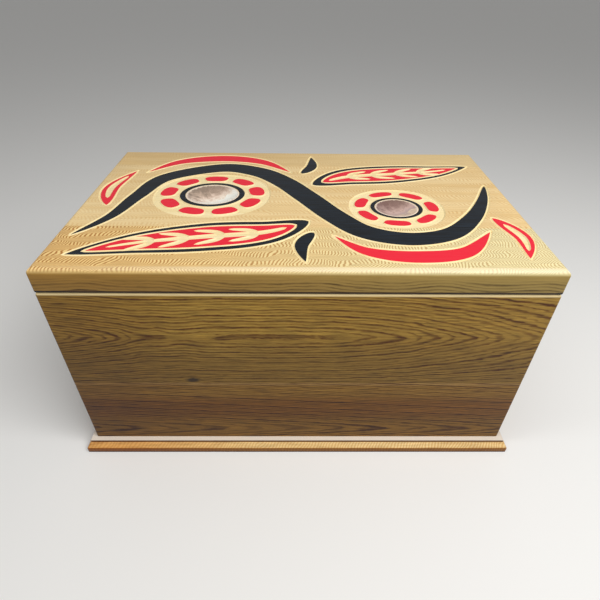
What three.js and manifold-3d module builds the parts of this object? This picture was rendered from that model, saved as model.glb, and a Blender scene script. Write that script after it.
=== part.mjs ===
// A lidded cedar chest with a lift-off slab lid. Millimetres, +Z up, the front faces -Y.
// The origin is the centre of the footprint, on the surface that the chest stands on.
//
// The four walls are boards glued edge to edge, mitred at the corners and held by splines.
// They stand on a base of three boards with a moulded edge, screwed on from below.
// The lid is three thick boards glued edge to edge, with two shells bedded in its top, hollow
// side up, and a rim of strips below that drops inside the walls. Its top is carved: a scrolled
// stem, two leaves, and a flower round each shell, whose ground is cut away between the petals.

import * as THREE from 'three';
import { mergeVertices } from 'three/addons/utils/BufferGeometryUtils.js';
import Module from 'manifold-3d';

const wasm = await Module();
wasm.setup();

// Walls
const BODY_LENGTH = 760; // outside, along X, and the lid is flush with it
const BODY_DEPTH = 468; // outside, along Y
const WALL_HEIGHT = 338;
const WALL_THICKNESS = 20;
const LOWER_BOARD_HEIGHT = 150; // the upper board of each wall takes the rest
const CORNER_RADIUS = 3; // rounding of the upright corners
const WALL_ARRIS = 4; // rounding of the walls' outer top edge

// Mitred corners
const MITRE_GLUE_LINE = 0.3; // between two mitre faces
const SPLINE_THICKNESS = 3;
const SPLINE_WIDTH = 12; // half of it in each wall
const SPLINE_SETBACK = 17; // from the outer corner, along the mitre
const SPLINE_STOP = 14; // from each end of the wall, which hides the spline
const SPLINE_FIT = 0.3; // all round the spline, in its groove

// Base
const BASE_THICKNESS = 25;
const BASE_OVERHANG = 17; // of the foot edge, beyond the walls
const BASE_LEDGE = 9; // flat strip round the walls' foot
const BASE_STEP = 3; // upright step below the ledge
const BASE_FOOT = 10; // height of the upright foot edge
const BASE_CORNER_RADIUS = 2;
const BASE_OUTER_BOARD = 166; // width of the front and of the back board

// Lid
const LID_THICKNESS = 40;
const LID_TOP_ARRIS = 8;
const LID_LOWER_ARRIS = 3;
const LID_FRONT_BOARD = 126; // width
const LID_BACK_BOARD = 79; // width

// Rim below the lid
const RIM_WIDTH = 16;
const RIM_HEIGHT = 18;
const RIM_CLEARANCE = 2; // between the rim and the walls
const RIM_LEAD = 3; // bevel on the rim's lower outer edge, which guides the lid in

// The lid's top is drawn on squares from its middle
const SQUARE = 10;

// Oval shells let into the top: half size at the rim, and depth outside. The flower round each has
// so many petals, the first at an angle from +X.
const LARGE_SHELL_HALF_LENGTH = 48;
const LARGE_SHELL_HALF_WIDTH = 41.5;
const LARGE_SHELL_DEPTH = 16;
const SMALL_SHELL_HALF_LENGTH = 37.5;
const SMALL_SHELL_HALF_WIDTH = 33.5;
const SMALL_SHELL_DEPTH = 13;
const SHELLS = [
  {
    name: 'large',
    x: -15.8 * SQUARE,
    y: 1.4 * SQUARE,
    halfLength: LARGE_SHELL_HALF_LENGTH,
    halfWidth: LARGE_SHELL_HALF_WIDTH,
    depth: LARGE_SHELL_DEPTH,
    petals: 9,
    firstPetal: 0.2,
  },
  {
    name: 'small',
    x: 16.8 * SQUARE,
    y: -3.6 * SQUARE,
    halfLength: SMALL_SHELL_HALF_LENGTH,
    halfWidth: SMALL_SHELL_HALF_WIDTH,
    depth: SMALL_SHELL_DEPTH,
    petals: 7,
    firstPetal: 0.1,
  },
];
const SHELL_THICKNESS = 2.5;
const SHELL_FIT = 0.3; // between a shell and its bed

// Carving of the lid's top, with its paths in squares
const CARVING_DEPTH = 1.7;
const GROOVE_HALF_WIDTH = 2.1; // of the V-groove round each painted shape
const STEM = [
  [-35.6, -13.8], [-31.4, -7.4], [-29.1, 0.6], [-25.8, 9], [-15.8, 14], [-8.4, 12.2], [-3.2, 7.4],
  [1.4, 0.4], [5.8, -6.8], [10.4, -12.2], [17, -14.3], [23.8, -12.6], [29, -7.2], [32.8, -0.6], [35.4, 6.2],
];
const FRONT_LEAF = [[1.6, -8.6], [-5.4, -12.4], [-15, -14], [-25, -16], [-34.4, -19.4]];
const BACK_LEAF = [[2.4, 5.8], [9.2, 9.8], [18, 11.4], [27, 13], [35, 15.8]];
const BACK_CRESCENT = [[-30.4, 11.2], [-24.6, 17.2], [-15.8, 19.3], [-7.6, 17.4], [-1.4, 11.6]];
const FRONT_CRESCENT = [[5, -13.2], [9.8, -18], [17, -19.5], [24.8, -18], [30.6, -11.6]];
const LEFT_BUD = [[-33.4, -3.4], [-34.8, 4.2], [-32.2, 12.4]];
const RIGHT_BUD = [[32.2, -7], [34.8, -13.6], [33.4, -20.2]];
const BACK_SEED = [[0.4, 11.2], [2.6, 15.2], [2.6, 20.8]];
const FRONT_SEED = [[2.2, -12.2], [0.2, -16.4], [0.8, -21.4]];

// Widths of the strokes: half of the most, a share below 1 that moves it towards the start, and a
// share below 1 that makes the ends blunter
const STEM_SWELL = { most: 25, early: 1, blunt: 0.5 };
const LEAF_SWELL = { most: 45, early: 0.8, blunt: 0.75 };
const BLADE_SWELL = { most: 32, early: 0.8, blunt: 0.75 };
const CRESCENT_SWELL = { most: 18, early: 1, blunt: 0.75 };
const BUD_SWELL = { most: 16, early: 0.8, blunt: 0.75 };
const SEED_SWELL = { most: 13, early: 0.7, blunt: 0.75 };
const BLADE_MARGIN = 0.07; // share of a leaf, at each tip, that its blade leaves free

// Flowers, in multiples of their shell's half size
const FLOWER_GROUND = 2.15;
const GROUND_FULLNESS = 0.91; // power of the sine and cosine, below 1 for more than an ellipse
const FLOWER_RING = 1.26;
const PETAL_START = 1.36;
const PETAL_END = 2.02;
const PETAL_FILL = 0.84; // share of the round that the petals take
const PETAL_FULLNESS = 0.72;

// Countersunk screws: shank and head radius, head depth and length
const BASE_SCREW = { shank: 2.25, head: 4.2, headDepth: 2.6, tip: 5, length: 50 };
const RIM_SCREW = { shank: 1.75, head: 3.4, headDepth: 2.1, tip: 4, length: 30 };
const SCREW_FIT = 0.3; // round a screw, in its hole
const HEAD_RECESS = 1; // of a head, below the face that it is sunk in
const LONG_SIDE_SCREWS = 4;
const SHORT_SIDE_SCREWS = 2;
const BASE_SCREW_INSET = 60; // of the outermost screw, from the outer corner
const RIM_SCREW_INSET = 50; // of the outermost screw, from the strip's end

// Facets and the reach of cutting tools past what they cut
const CORNER_STEPS = 4;
const ARRIS_STEPS = 4;
const SHELL_SIDES = 40;
const SHELL_STEPS = 8;
const STROKE_STEP = 30;
const SHORTEST_STROKE_STEPS = 5;
const GROUND_SIDES = 24;
const RING_SIDES = 20;
const PETAL_SIDES = 8;
const TIP_HALF_WIDTH = 0.2;
const TIP_SEARCH_STEPS = 400;
const SCREW_SIDES = 12;
const REACH = 10;

const HALF_LENGTH = BODY_LENGTH / 2;
const HALF_DEPTH = BODY_DEPTH / 2;
const WALL_TOP = BASE_THICKNESS + WALL_HEIGHT;
const BOARD_SEAM = BASE_THICKNESS + LOWER_BOARD_HEIGHT;

const wood = (color) => new THREE.MeshStandardMaterial({ color, roughness: 0.45, metalness: 0 });
const MATERIALS = {
  lid: wood(0xcfa365),
  wall: wood(0xa87a45),
  base: wood(0xb98546),
  rim: wood(0xc39a63),
  spline: wood(0xd8c39a),
  shell: new THREE.MeshStandardMaterial({ color: 0xb3a29c, roughness: 0.25, metalness: 0 }),
  screw: new THREE.MeshStandardMaterial({ color: 0xb4b6b8, roughness: 0.35, metalness: 1 }),
};

// Solids: from a closed three.js geometry to a manifold and back

function solidOf(geometry) {
  const bare = geometry.clone();
  bare.deleteAttribute('normal');
  bare.deleteAttribute('uv');
  const welded = mergeVertices(bare);
  return new wasm.Manifold(new wasm.Mesh({
    numProp: 3,
    vertProperties: new Float32Array(welded.attributes.position.array),
    triVerts: new Uint32Array(welded.index.array),
  }));
}

function geometryOf(solid) {
  const mesh = solid.getMesh();
  const geometry = new THREE.BufferGeometry();
  geometry.setAttribute('position', new THREE.BufferAttribute(mesh.vertProperties, mesh.numProp));
  geometry.setIndex(new THREE.BufferAttribute(mesh.triVerts, 1));
  return geometry;
}

const cutAll = (solid, cutters) => cutters.reduce((rest, cutter) => rest.subtract(cutter), solid);

function block([x0, x1], [y0, y1], [z0, z1]) {
  const geometry = new THREE.BoxGeometry(x1 - x0, y1 - y0, z1 - z0);
  return solidOf(geometry.translate((x0 + x1) / 2, (y0 + y1) / 2, (z0 + z1) / 2));
}

// Upright prism over an outline of [x, y] points
function prism(points, [z0, z1]) {
  const shape = new THREE.Shape(points.map(([x, y]) => new THREE.Vector2(x, y)));
  const geometry = new THREE.ExtrudeGeometry(shape, { depth: z1 - z0, bevelEnabled: false });
  return solidOf(geometry.translate(0, 0, z0));
}

// Rectangle with rounded corners, drawn in by an inset, as a ring of points
function roundedRing(halfX, halfY, radius, inset) {
  const round = Math.max(radius - inset, radius / 4);
  const ring = [];
  for (let corner = 0; corner < 4; corner += 1) {
    const sideX = corner === 0 || corner === 3 ? 1 : -1;
    const sideY = corner < 2 ? 1 : -1;
    for (let step = 0; step <= CORNER_STEPS; step += 1) {
      const angle = (corner + step / CORNER_STEPS) * Math.PI / 2;
      ring.push([
        sideX * (halfX - inset - round) + round * Math.cos(angle),
        sideY * (halfY - inset - round) + round * Math.sin(angle),
      ]);
    }
  }
  return ring;
}

// Slab whose outline is drawn in by a different inset at each level: moulded and rounded edges
function slab(halfX, halfY, radius, levels) {
  const rings = levels.map(({ inset }) => roundedRing(halfX, halfY, radius, inset));
  const count = rings[0].length;
  const positions = rings.flatMap((ring, level) => ring.flatMap(([x, y]) => [x, y, levels[level].z]));
  const bottomCentre = rings.length * count;
  const topCentre = bottomCentre + 1;
  positions.push(0, 0, levels[0].z, 0, 0, levels.at(-1).z);
  const index = [];
  for (let i = 0; i < count; i += 1) {
    const next = (i + 1) % count;
    for (let level = 0; level + 1 < rings.length; level += 1) {
      const low = level * count;
      const high = low + count;
      index.push(low + i, low + next, high + next, low + i, high + next, high + i);
    }
    const last = bottomCentre - count;
    index.push(bottomCentre, next, i, topCentre, last + i, last + next);
  }
  const geometry = new THREE.BufferGeometry();
  geometry.setAttribute('position', new THREE.BufferAttribute(new Float32Array(positions), 3));
  geometry.setIndex(index);
  return solidOf(geometry);
}

// Levels of a quarter-round edge that ends at height z, at the top or the bottom of a slab
function arrisLevels(z, radius, isTop) {
  const levels = [];
  for (let step = 0; step <= ARRIS_STEPS; step += 1) {
    const angle = (step / ARRIS_STEPS) * Math.PI / 2;
    const drop = radius * (1 - Math.sin(angle));
    const inset = radius * (1 - Math.cos(angle));
    levels.push({ z: isTop ? z - drop : z + drop, inset });
  }
  return isTop ? levels : levels.reverse();
}

// Evenly spaced places, the outermost at an inset from each end of a length centred on 0
function spread(count, length, inset) {
  const span = length - 2 * inset;
  return Array.from({ length: count }, (_, i) => (count > 1 ? i / (count - 1) - 0.5 : 0) * span);
}

// Screws, which point up: z is 0 at the flat of the head

function lathe(profile) {
  const points = profile.map(([radius, z]) => new THREE.Vector2(radius, z));
  return new THREE.LatheGeometry(points, SCREW_SIDES).rotateX(Math.PI / 2);
}

function screw({ shank, head, headDepth, tip, length }) {
  return lathe([[0, 0], [head, 0], [shank, headDepth], [shank, length - tip], [0, length]]);
}

function screwHole({ shank, head, headDepth, tip, length }) {
  return solidOf(lathe([
    [0, -REACH],
    [head + SCREW_FIT, -REACH],
    [head + SCREW_FIT, 0],
    [shank + SCREW_FIT, headDepth],
    [shank + SCREW_FIT, length - tip],
    [0, length + SCREW_FIT],
  ]));
}

const screwHolesAt = (kind, places) => places.map((place) => screwHole(kind).translate(...place));

// Places round a rectangle of screw lines, at height z
function screwPlaces(halfX, halfY, longSides, shortSides, z) {
  return [
    ...longSides.flatMap((x) => [[x, -halfY, z], [x, halfY, z]]),
    ...shortSides.flatMap((y) => [[-halfX, y, z], [halfX, y, z]]),
  ];
}

// Chest: walls, splines and base

const chest = new THREE.Group();

function addPiece(group, name, shape, material) {
  const geometry = shape.isBufferGeometry ? shape : geometryOf(shape);
  const mesh = new THREE.Mesh(geometry, material);
  mesh.name = name;
  group.add(mesh);
  return mesh;
}

function addScrews(group, prefix, kind, places) {
  const geometry = screw(kind);
  places.forEach((place, i) => {
    addPiece(group, `${prefix}_screw_${i + 1}`, geometry, MATERIALS.screw).position.set(...place);
  });
}

const baseScrewPlaces = screwPlaces(
  HALF_LENGTH - WALL_THICKNESS / 2,
  HALF_DEPTH - WALL_THICKNESS / 2,
  spread(LONG_SIDE_SCREWS, BODY_LENGTH, BASE_SCREW_INSET),
  spread(SHORT_SIDE_SCREWS, BODY_DEPTH, (BODY_DEPTH - BASE_OUTER_BOARD / 2) / 2),
  HEAD_RECESS,
);
const baseScrewHoles = screwHolesAt(BASE_SCREW, baseScrewPlaces);

// A spline stands across the mitre: thin along the mitre, wide square to it
function splineSolid(sideX, sideY, fit) {
  const reach = SPLINE_SETBACK / Math.SQRT2;
  const geometry = new THREE.BoxGeometry(
    SPLINE_THICKNESS + 2 * fit,
    SPLINE_WIDTH + 2 * fit,
    WALL_HEIGHT - 2 * SPLINE_STOP + 2 * fit,
  );
  geometry.rotateZ(Math.atan2(sideY, sideX));
  geometry.translate(
    sideX * (HALF_LENGTH - reach),
    sideY * (HALF_DEPTH - reach),
    BASE_THICKNESS + WALL_HEIGHT / 2,
  );
  return solidOf(geometry);
}

const CORNERS = [
  { name: 'front_left', sideX: -1, sideY: -1 },
  { name: 'front_right', sideX: 1, sideY: -1 },
  { name: 'back_left', sideX: -1, sideY: 1 },
  { name: 'back_right', sideX: 1, sideY: 1 },
];
const splineGrooves = CORNERS.map(({ sideX, sideY }) => splineSolid(sideX, sideY, SPLINE_FIT));

function wallShell() {
  const outside = slab(HALF_LENGTH, HALF_DEPTH, CORNER_RADIUS, [
    { z: BASE_THICKNESS, inset: 0 },
    ...arrisLevels(WALL_TOP, WALL_ARRIS, true),
  ]);
  const innerX = HALF_LENGTH - WALL_THICKNESS;
  const innerY = HALF_DEPTH - WALL_THICKNESS;
  const inside = block([-innerX, innerX], [-innerY, innerY], [0, WALL_TOP + REACH]);
  return cutAll(outside, [inside, ...splineGrooves, ...baseScrewHoles]);
}

// Space of one wall between its two mitres. The wall lies on side +1 or -1 of the chosen axis.
function mitreWedge(alongX, side, heights) {
  const halfRun = alongX ? HALF_LENGTH : HALF_DEPTH;
  const halfAcross = alongX ? HALF_DEPTH : HALF_LENGTH;
  const setback = MITRE_GLUE_LINE / Math.SQRT2;
  const depthIn = WALL_THICKNESS + REACH;
  const outline = [
    [-halfRun - REACH + setback, side * (halfAcross + REACH)],
    [halfRun + REACH - setback, side * (halfAcross + REACH)],
    [halfRun - depthIn - setback, side * (halfAcross - depthIn)],
    [-halfRun + depthIn + setback, side * (halfAcross - depthIn)],
  ];
  return prism(alongX ? outline : outline.map(([run, across]) => [across, run]), heights);
}

const WALLS = [
  { name: 'front', alongX: true, side: -1 },
  { name: 'back', alongX: true, side: 1 },
  { name: 'left', alongX: false, side: -1 },
  { name: 'right', alongX: false, side: 1 },
];
const shell = wallShell();
for (const { name, alongX, side } of WALLS) {
  const upper = shell.intersect(mitreWedge(alongX, side, [BOARD_SEAM, WALL_TOP]));
  const lower = shell.intersect(mitreWedge(alongX, side, [BASE_THICKNESS, BOARD_SEAM]));
  addPiece(chest, `${name}_upper_board`, upper, MATERIALS.wall);
  addPiece(chest, `${name}_lower_board`, lower, MATERIALS.wall);
}
for (const { name, sideX, sideY } of CORNERS) {
  addPiece(chest, `corner_spline_${name}`, splineSolid(sideX, sideY, 0), MATERIALS.spline);
}

// The base is one moulded panel, glued up from three boards
const baseHalfX = HALF_LENGTH + BASE_OVERHANG;
const baseHalfY = HALF_DEPTH + BASE_OVERHANG;
const basePanel = cutAll(
  slab(baseHalfX, baseHalfY, BASE_CORNER_RADIUS, [
    { z: 0, inset: 0 },
    { z: BASE_FOOT, inset: 0 },
    { z: BASE_THICKNESS - BASE_STEP, inset: BASE_OVERHANG - BASE_LEDGE },
    { z: BASE_THICKNESS, inset: BASE_OVERHANG - BASE_LEDGE },
  ]),
  baseScrewHoles,
);

// Boards of a panel, from front to back, cut at the seams' Y
function addBoards(group, prefix, panel, halfX, halfY, seams, heights, material) {
  const edges = [-halfY - REACH, ...seams, halfY + REACH];
  ['front', 'middle', 'back'].forEach((place, i) => {
    const span = block([-halfX - REACH, halfX + REACH], [edges[i], edges[i + 1]], heights);
    addPiece(group, `${prefix}_${place}_board`, panel.intersect(span), material);
  });
}

const baseSeam = baseHalfY - BASE_OUTER_BOARD;
const baseSpan = [-REACH, BASE_THICKNESS + REACH];
addBoards(chest, 'base', basePanel, baseHalfX, baseHalfY, [-baseSeam, baseSeam], baseSpan, MATERIALS.base);
addScrews(chest, 'base', BASE_SCREW, baseScrewPlaces);

// Lid: z is 0 at its seat on the walls

const lid = new THREE.Group();
lid.position.z = WALL_TOP;

const rimHalfX = HALF_LENGTH - WALL_THICKNESS - RIM_CLEARANCE;
const rimHalfY = HALF_DEPTH - WALL_THICKNESS - RIM_CLEARANCE;
const shortStripLength = 2 * (rimHalfY - RIM_WIDTH);
const rimScrewPlaces = screwPlaces(
  rimHalfX - RIM_WIDTH / 2,
  rimHalfY - RIM_WIDTH / 2,
  spread(LONG_SIDE_SCREWS, 2 * rimHalfX, RIM_SCREW_INSET),
  spread(SHORT_SIDE_SCREWS, shortStripLength, RIM_SCREW_INSET),
  HEAD_RECESS - RIM_HEIGHT,
);
const rimScrewHoles = screwHolesAt(RIM_SCREW, rimScrewPlaces);

// Bowl below the lid's top, filled up past it: an arc turned about the upright axis, then
// narrowed along Y. A positive growth makes it larger all round.
function bowl({ x, y, halfLength, halfWidth, depth }, growth) {
  const mouth = halfLength + growth;
  const sag = depth + growth;
  const radius = (mouth ** 2 + sag ** 2) / (2 * sag);
  const sweep = Math.asin(mouth / radius);
  const profile = [];
  for (let step = 0; step <= SHELL_STEPS; step += 1) {
    const angle = (step / SHELL_STEPS) * sweep;
    profile.push(new THREE.Vector2(radius * Math.sin(angle), radius * (1 - Math.cos(angle)) - sag));
  }
  profile.push(new THREE.Vector2(mouth, REACH), new THREE.Vector2(0, REACH));
  const geometry = new THREE.LatheGeometry(profile, SHELL_SIDES).rotateX(Math.PI / 2);
  return solidOf(geometry.scale(1, (halfWidth + growth) / mouth, 1).translate(x, y, LID_THICKNESS));
}

function shellSolid(shell) {
  const belowTop = block([-HALF_LENGTH, HALF_LENGTH], [-HALF_DEPTH, HALF_DEPTH], [0, LID_THICKNESS]);
  return bowl(shell, 0).intersect(belowTop).subtract(bowl(shell, -SHELL_THICKNESS));
}

// Carving: outlines that are grown all round by a distance, or drawn in by a negative one
const carvedHeights = [LID_THICKNESS - CARVING_DEPTH, LID_THICKNESS + CARVING_DEPTH];

const strokeWidth = ({ most, early, blunt }, t) => most * Math.sin(Math.PI * t ** early) ** blunt;

// A brush stroke, pointed at both ends, along a run of its path
function strokeOutline(path, swell, [from, to], growth) {
  const points = path.map(([x, y]) => new THREE.Vector2(x, y).multiplyScalar(SQUARE));
  const curve = new THREE.SplineCurve(points);
  const steps = Math.max(Math.ceil(curve.getLength() / STROKE_STEP), SHORTEST_STROKE_STEPS);
  const shares = Array.from({ length: TIP_SEARCH_STEPS + 1 }, (_, i) => i / TIP_SEARCH_STEPS);
  const wideEnough = shares.filter((t) => strokeWidth(swell, t) + growth >= 0);
  const [first, last] = [wideEnough[0], wideEnough.at(-1)];
  const left = [];
  const right = [];
  for (let step = 0; step <= steps; step += 1) {
    const t = first + (last - first) * (step / steps);
    const place = from + (to - from) * t;
    const point = curve.getPointAt(place);
    const along = curve.getTangentAt(place);
    const half = Math.max(strokeWidth(swell, t) + growth, TIP_HALF_WIDTH);
    const past = Math.max(growth, 0) * (Number(step === steps) - Number(step === 0));
    point.addScaledVector(along, past);
    left.unshift([point.x - along.y * half, point.y + along.x * half]);
    right.push([point.x + along.y * half, point.y - along.x * half]);
  }
  return [...right, ...left];
}

const power = (value, exponent) => Math.sign(value) * Math.abs(value) ** exponent;

function ovalOutline({ x, y, halfLength, halfWidth }, scale, fullness, sides) {
  return Array.from({ length: sides }, (_, i) => {
    const angle = (i / sides) * 2 * Math.PI;
    return [
      x + halfLength * scale * power(Math.cos(angle), fullness),
      y + halfWidth * scale * power(Math.sin(angle), fullness),
    ];
  });
}

// A petal is a rounded patch between two ovals and two directions
function petalOutline({ x, y, halfLength, halfWidth, petals, firstPetal }, number) {
  const middle = firstPetal + (number / petals) * 2 * Math.PI;
  return Array.from({ length: PETAL_SIDES }, (_, i) => {
    const turn = (i / PETAL_SIDES) * 2 * Math.PI;
    const along = power(-Math.cos(turn), PETAL_FULLNESS) / 2;
    const across = power(Math.sin(turn), PETAL_FULLNESS);
    const out = (PETAL_START + PETAL_END) / 2 + along * (PETAL_END - PETAL_START);
    const angle = middle - across * PETAL_FILL * (Math.PI / petals);
    return [x + halfLength * out * Math.cos(angle), y + halfWidth * out * Math.sin(angle)];
  });
}

// Cutter of a V-groove along a closed outline. It reaches as far above the wood as below it, with
// the same slope, so that it is twice as wide at its top.
function grooveCutter(outlineAt) {
  const rings = [
    { outline: outlineAt(2 * GROOVE_HALF_WIDTH), z: carvedHeights[1] },
    { outline: outlineAt(-2 * GROOVE_HALF_WIDTH), z: carvedHeights[1] },
    { outline: outlineAt(0), z: carvedHeights[0] },
  ];
  const count = rings[0].outline.length;
  const positions = rings.flatMap(({ outline, z }) => outline.flatMap(([x, y]) => [x, y, z]));
  const index = [];
  for (let ring = 0; ring < rings.length; ring += 1) {
    const here = ring * count;
    const there = ((ring + 1) % rings.length) * count;
    for (let i = 0; i < count; i += 1) {
      const next = (i + 1) % count;
      index.push(here + i, here + next, there + next, here + i, there + next, there + i);
    }
  }
  const geometry = new THREE.BufferGeometry();
  geometry.setAttribute('position', new THREE.BufferAttribute(new Float32Array(positions), 3));
  geometry.setIndex(index);
  return solidOf(geometry);
}

const WHOLE = [0, 1];

function strokeGroove(path, swell, run) {
  return grooveCutter((growth) => strokeOutline(path, swell, run, growth));
}

function flowerGround(flower) {
  const outline = ovalOutline(flower, FLOWER_GROUND, GROUND_FULLNESS, GROUND_SIDES);
  const ring = ovalOutline(flower, FLOWER_RING, 1, RING_SIDES);
  const petals = Array.from({ length: flower.petals }, (_, i) => petalOutline(flower, i));
  const left = [ring, ...petals].map((island) => prism(island, carvedHeights));
  return cutAll(prism(outline, carvedHeights), left);
}

const carving = [
  ...SHELLS.map(flowerGround),
  strokeGroove(STEM, STEM_SWELL, WHOLE),
  ...[FRONT_LEAF, BACK_LEAF].flatMap((path) => [
    strokeGroove(path, LEAF_SWELL, WHOLE),
    strokeGroove(path, BLADE_SWELL, [BLADE_MARGIN, 1 - BLADE_MARGIN]),
  ]),
  ...[BACK_CRESCENT, FRONT_CRESCENT].map((path) => strokeGroove(path, CRESCENT_SWELL, WHOLE)),
  ...[LEFT_BUD, RIGHT_BUD].map((path) => strokeGroove(path, BUD_SWELL, WHOLE)),
  ...[BACK_SEED, FRONT_SEED].map((path) => strokeGroove(path, SEED_SWELL, WHOLE)),
];

const lidPanel = cutAll(
  slab(HALF_LENGTH, HALF_DEPTH, CORNER_RADIUS, [
    ...arrisLevels(0, LID_LOWER_ARRIS, false),
    ...arrisLevels(LID_THICKNESS, LID_TOP_ARRIS, true),
  ]),
  [...SHELLS.map((shell) => bowl(shell, SHELL_FIT)), ...carving, ...rimScrewHoles],
);
const lidSeams = [LID_FRONT_BOARD - HALF_DEPTH, HALF_DEPTH - LID_BACK_BOARD];
const lidSpan = [-REACH, LID_THICKNESS + REACH];
addBoards(lid, 'lid', lidPanel, HALF_LENGTH, HALF_DEPTH, lidSeams, lidSpan, MATERIALS.lid);
for (const shell of SHELLS) {
  addPiece(lid, `lid_shell_${shell.name}`, shellSolid(shell), MATERIALS.shell);
}

// A rim strip is a run of its section: the outer face stands at 0, bevelled at its lower edge
function rimStrip(length, turn, offset) {
  const section = new THREE.Shape([
    new THREE.Vector2(0, 0),
    new THREE.Vector2(0, RIM_LEAD - RIM_HEIGHT),
    new THREE.Vector2(RIM_LEAD, -RIM_HEIGHT),
    new THREE.Vector2(RIM_WIDTH, -RIM_HEIGHT),
    new THREE.Vector2(RIM_WIDTH, 0),
  ]);
  const geometry = new THREE.ExtrudeGeometry(section, { depth: length, bevelEnabled: false });
  geometry.translate(-offset, 0, -length / 2).rotateX(Math.PI / 2).rotateZ(turn);
  return cutAll(solidOf(geometry), rimScrewHoles);
}

addPiece(lid, 'lid_rim_left', rimStrip(shortStripLength, 0, rimHalfX), MATERIALS.rim);
addPiece(lid, 'lid_rim_right', rimStrip(shortStripLength, Math.PI, rimHalfX), MATERIALS.rim);
addPiece(lid, 'lid_rim_front', rimStrip(2 * rimHalfX, Math.PI / 2, rimHalfY), MATERIALS.rim);
addPiece(lid, 'lid_rim_back', rimStrip(2 * rimHalfX, -Math.PI / 2, rimHalfY), MATERIALS.rim);
addScrews(lid, 'rim', RIM_SCREW, rimScrewPlaces);

const group = new THREE.Group();
group.add(chest, lid);
export default group;
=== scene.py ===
"""A varnished cedar chest with a slab lid: its woods, the carved and painted ornament of the lid,
the shells bedded in it and the screws below.

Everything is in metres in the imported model's frame: +Z up, the front faces -Y. The ornament, the
woods' figure and the screws are planned in millimetres, as a maker would set them out.
"""

import math

import bmesh
import bpy
import numpy as np
from mathutils import Matrix, Vector, noise
from mathutils.geometry import delaunay_2d_cdt


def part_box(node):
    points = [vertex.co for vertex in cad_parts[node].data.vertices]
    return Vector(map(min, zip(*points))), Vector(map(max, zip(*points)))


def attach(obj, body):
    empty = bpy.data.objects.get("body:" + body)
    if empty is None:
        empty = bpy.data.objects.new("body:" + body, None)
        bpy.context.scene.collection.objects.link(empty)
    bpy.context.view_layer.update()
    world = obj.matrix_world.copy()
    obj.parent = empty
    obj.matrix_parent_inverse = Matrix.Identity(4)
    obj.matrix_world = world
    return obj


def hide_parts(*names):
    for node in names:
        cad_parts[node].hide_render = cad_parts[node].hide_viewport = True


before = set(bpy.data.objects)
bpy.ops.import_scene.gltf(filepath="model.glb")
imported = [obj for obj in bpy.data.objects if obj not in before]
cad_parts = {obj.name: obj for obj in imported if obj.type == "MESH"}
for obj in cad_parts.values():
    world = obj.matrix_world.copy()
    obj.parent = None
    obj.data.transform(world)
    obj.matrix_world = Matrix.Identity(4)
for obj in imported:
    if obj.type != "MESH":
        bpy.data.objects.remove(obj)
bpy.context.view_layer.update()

MM = 0.001


def box_in_mm(*nodes):
    """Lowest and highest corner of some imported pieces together, in millimetres."""
    boxes = [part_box(node) for node in nodes]
    low = [min(box[0][k] for box in boxes) / MM for k in range(3)]
    high = [max(box[1][k] for box in boxes) / MM for k in range(3)]
    return Vector(low), Vector(high)


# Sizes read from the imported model

LID_LOW, LID_HIGH = box_in_mm("lid_front_board", "lid_back_board")
LID_TOP = LID_HIGH.z
LID_LENGTH = LID_HIGH.x - LID_LOW.x
FRONT_FACE = box_in_mm("front_upper_board")[0].y
BACK_FACE = box_in_mm("back_upper_board")[1].y
LEFT_FACE = box_in_mm("left_upper_board")[0].x
RIGHT_FACE = box_in_mm("right_upper_board")[1].x
WALL_TOP = box_in_mm("front_upper_board")[1].z
BOARD_SEAM = box_in_mm("front_upper_board")[0].z
BASE_TOP = box_in_mm("base_front_board")[1].z

# Ornament of the lid. It is drawn on squares, from the middle of the lid's top

SQUARE = 10.0
GROOVE = 2.1  # half the width of the carved line round every painted shape
CARVED = 1.7  # depth of that line, and of the ground that is cut away round the flowers
TOOL_MARK = 0.3  # height of the gouge marks left on that ground
STEP = 4.0  # spacing of the points along an outline

STEM = [(-35.6, -13.8), (-31.4, -7.4), (-29.1, 0.6), (-25.8, 9), (-15.8, 14), (-8.4, 12.2), (-3.2, 7.4),
        (1.4, 0.4), (5.8, -6.8), (10.4, -12.2), (17, -14.3), (23.8, -12.6), (29, -7.2), (32.8, -0.6),
        (35.4, 6.2)]
FRONT_LEAF = [(1.6, -8.6), (-5.4, -12.4), (-15, -14), (-25, -16), (-34.4, -19.4)]
BACK_LEAF = [(2.4, 5.8), (9.2, 9.8), (18, 11.4), (27, 13), (35, 15.8)]
BACK_CRESCENT = [(-30.4, 11.2), (-24.6, 17.2), (-15.8, 19.3), (-7.6, 17.4), (-1.4, 11.6)]
FRONT_CRESCENT = [(5, -13.2), (9.8, -18), (17, -19.5), (24.8, -18), (30.6, -11.6)]
LEFT_BUD = [(-33.4, -3.4), (-34.8, 4.2), (-32.2, 12.4)]
RIGHT_BUD = [(32.2, -7), (34.8, -13.6), (33.4, -20.2)]
BACK_SEED = [(0.4, 11.2), (2.6, 15.2), (2.6, 20.8)]
FRONT_SEED = [(2.2, -12.2), (0.2, -16.4), (0.8, -21.4)]

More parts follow.
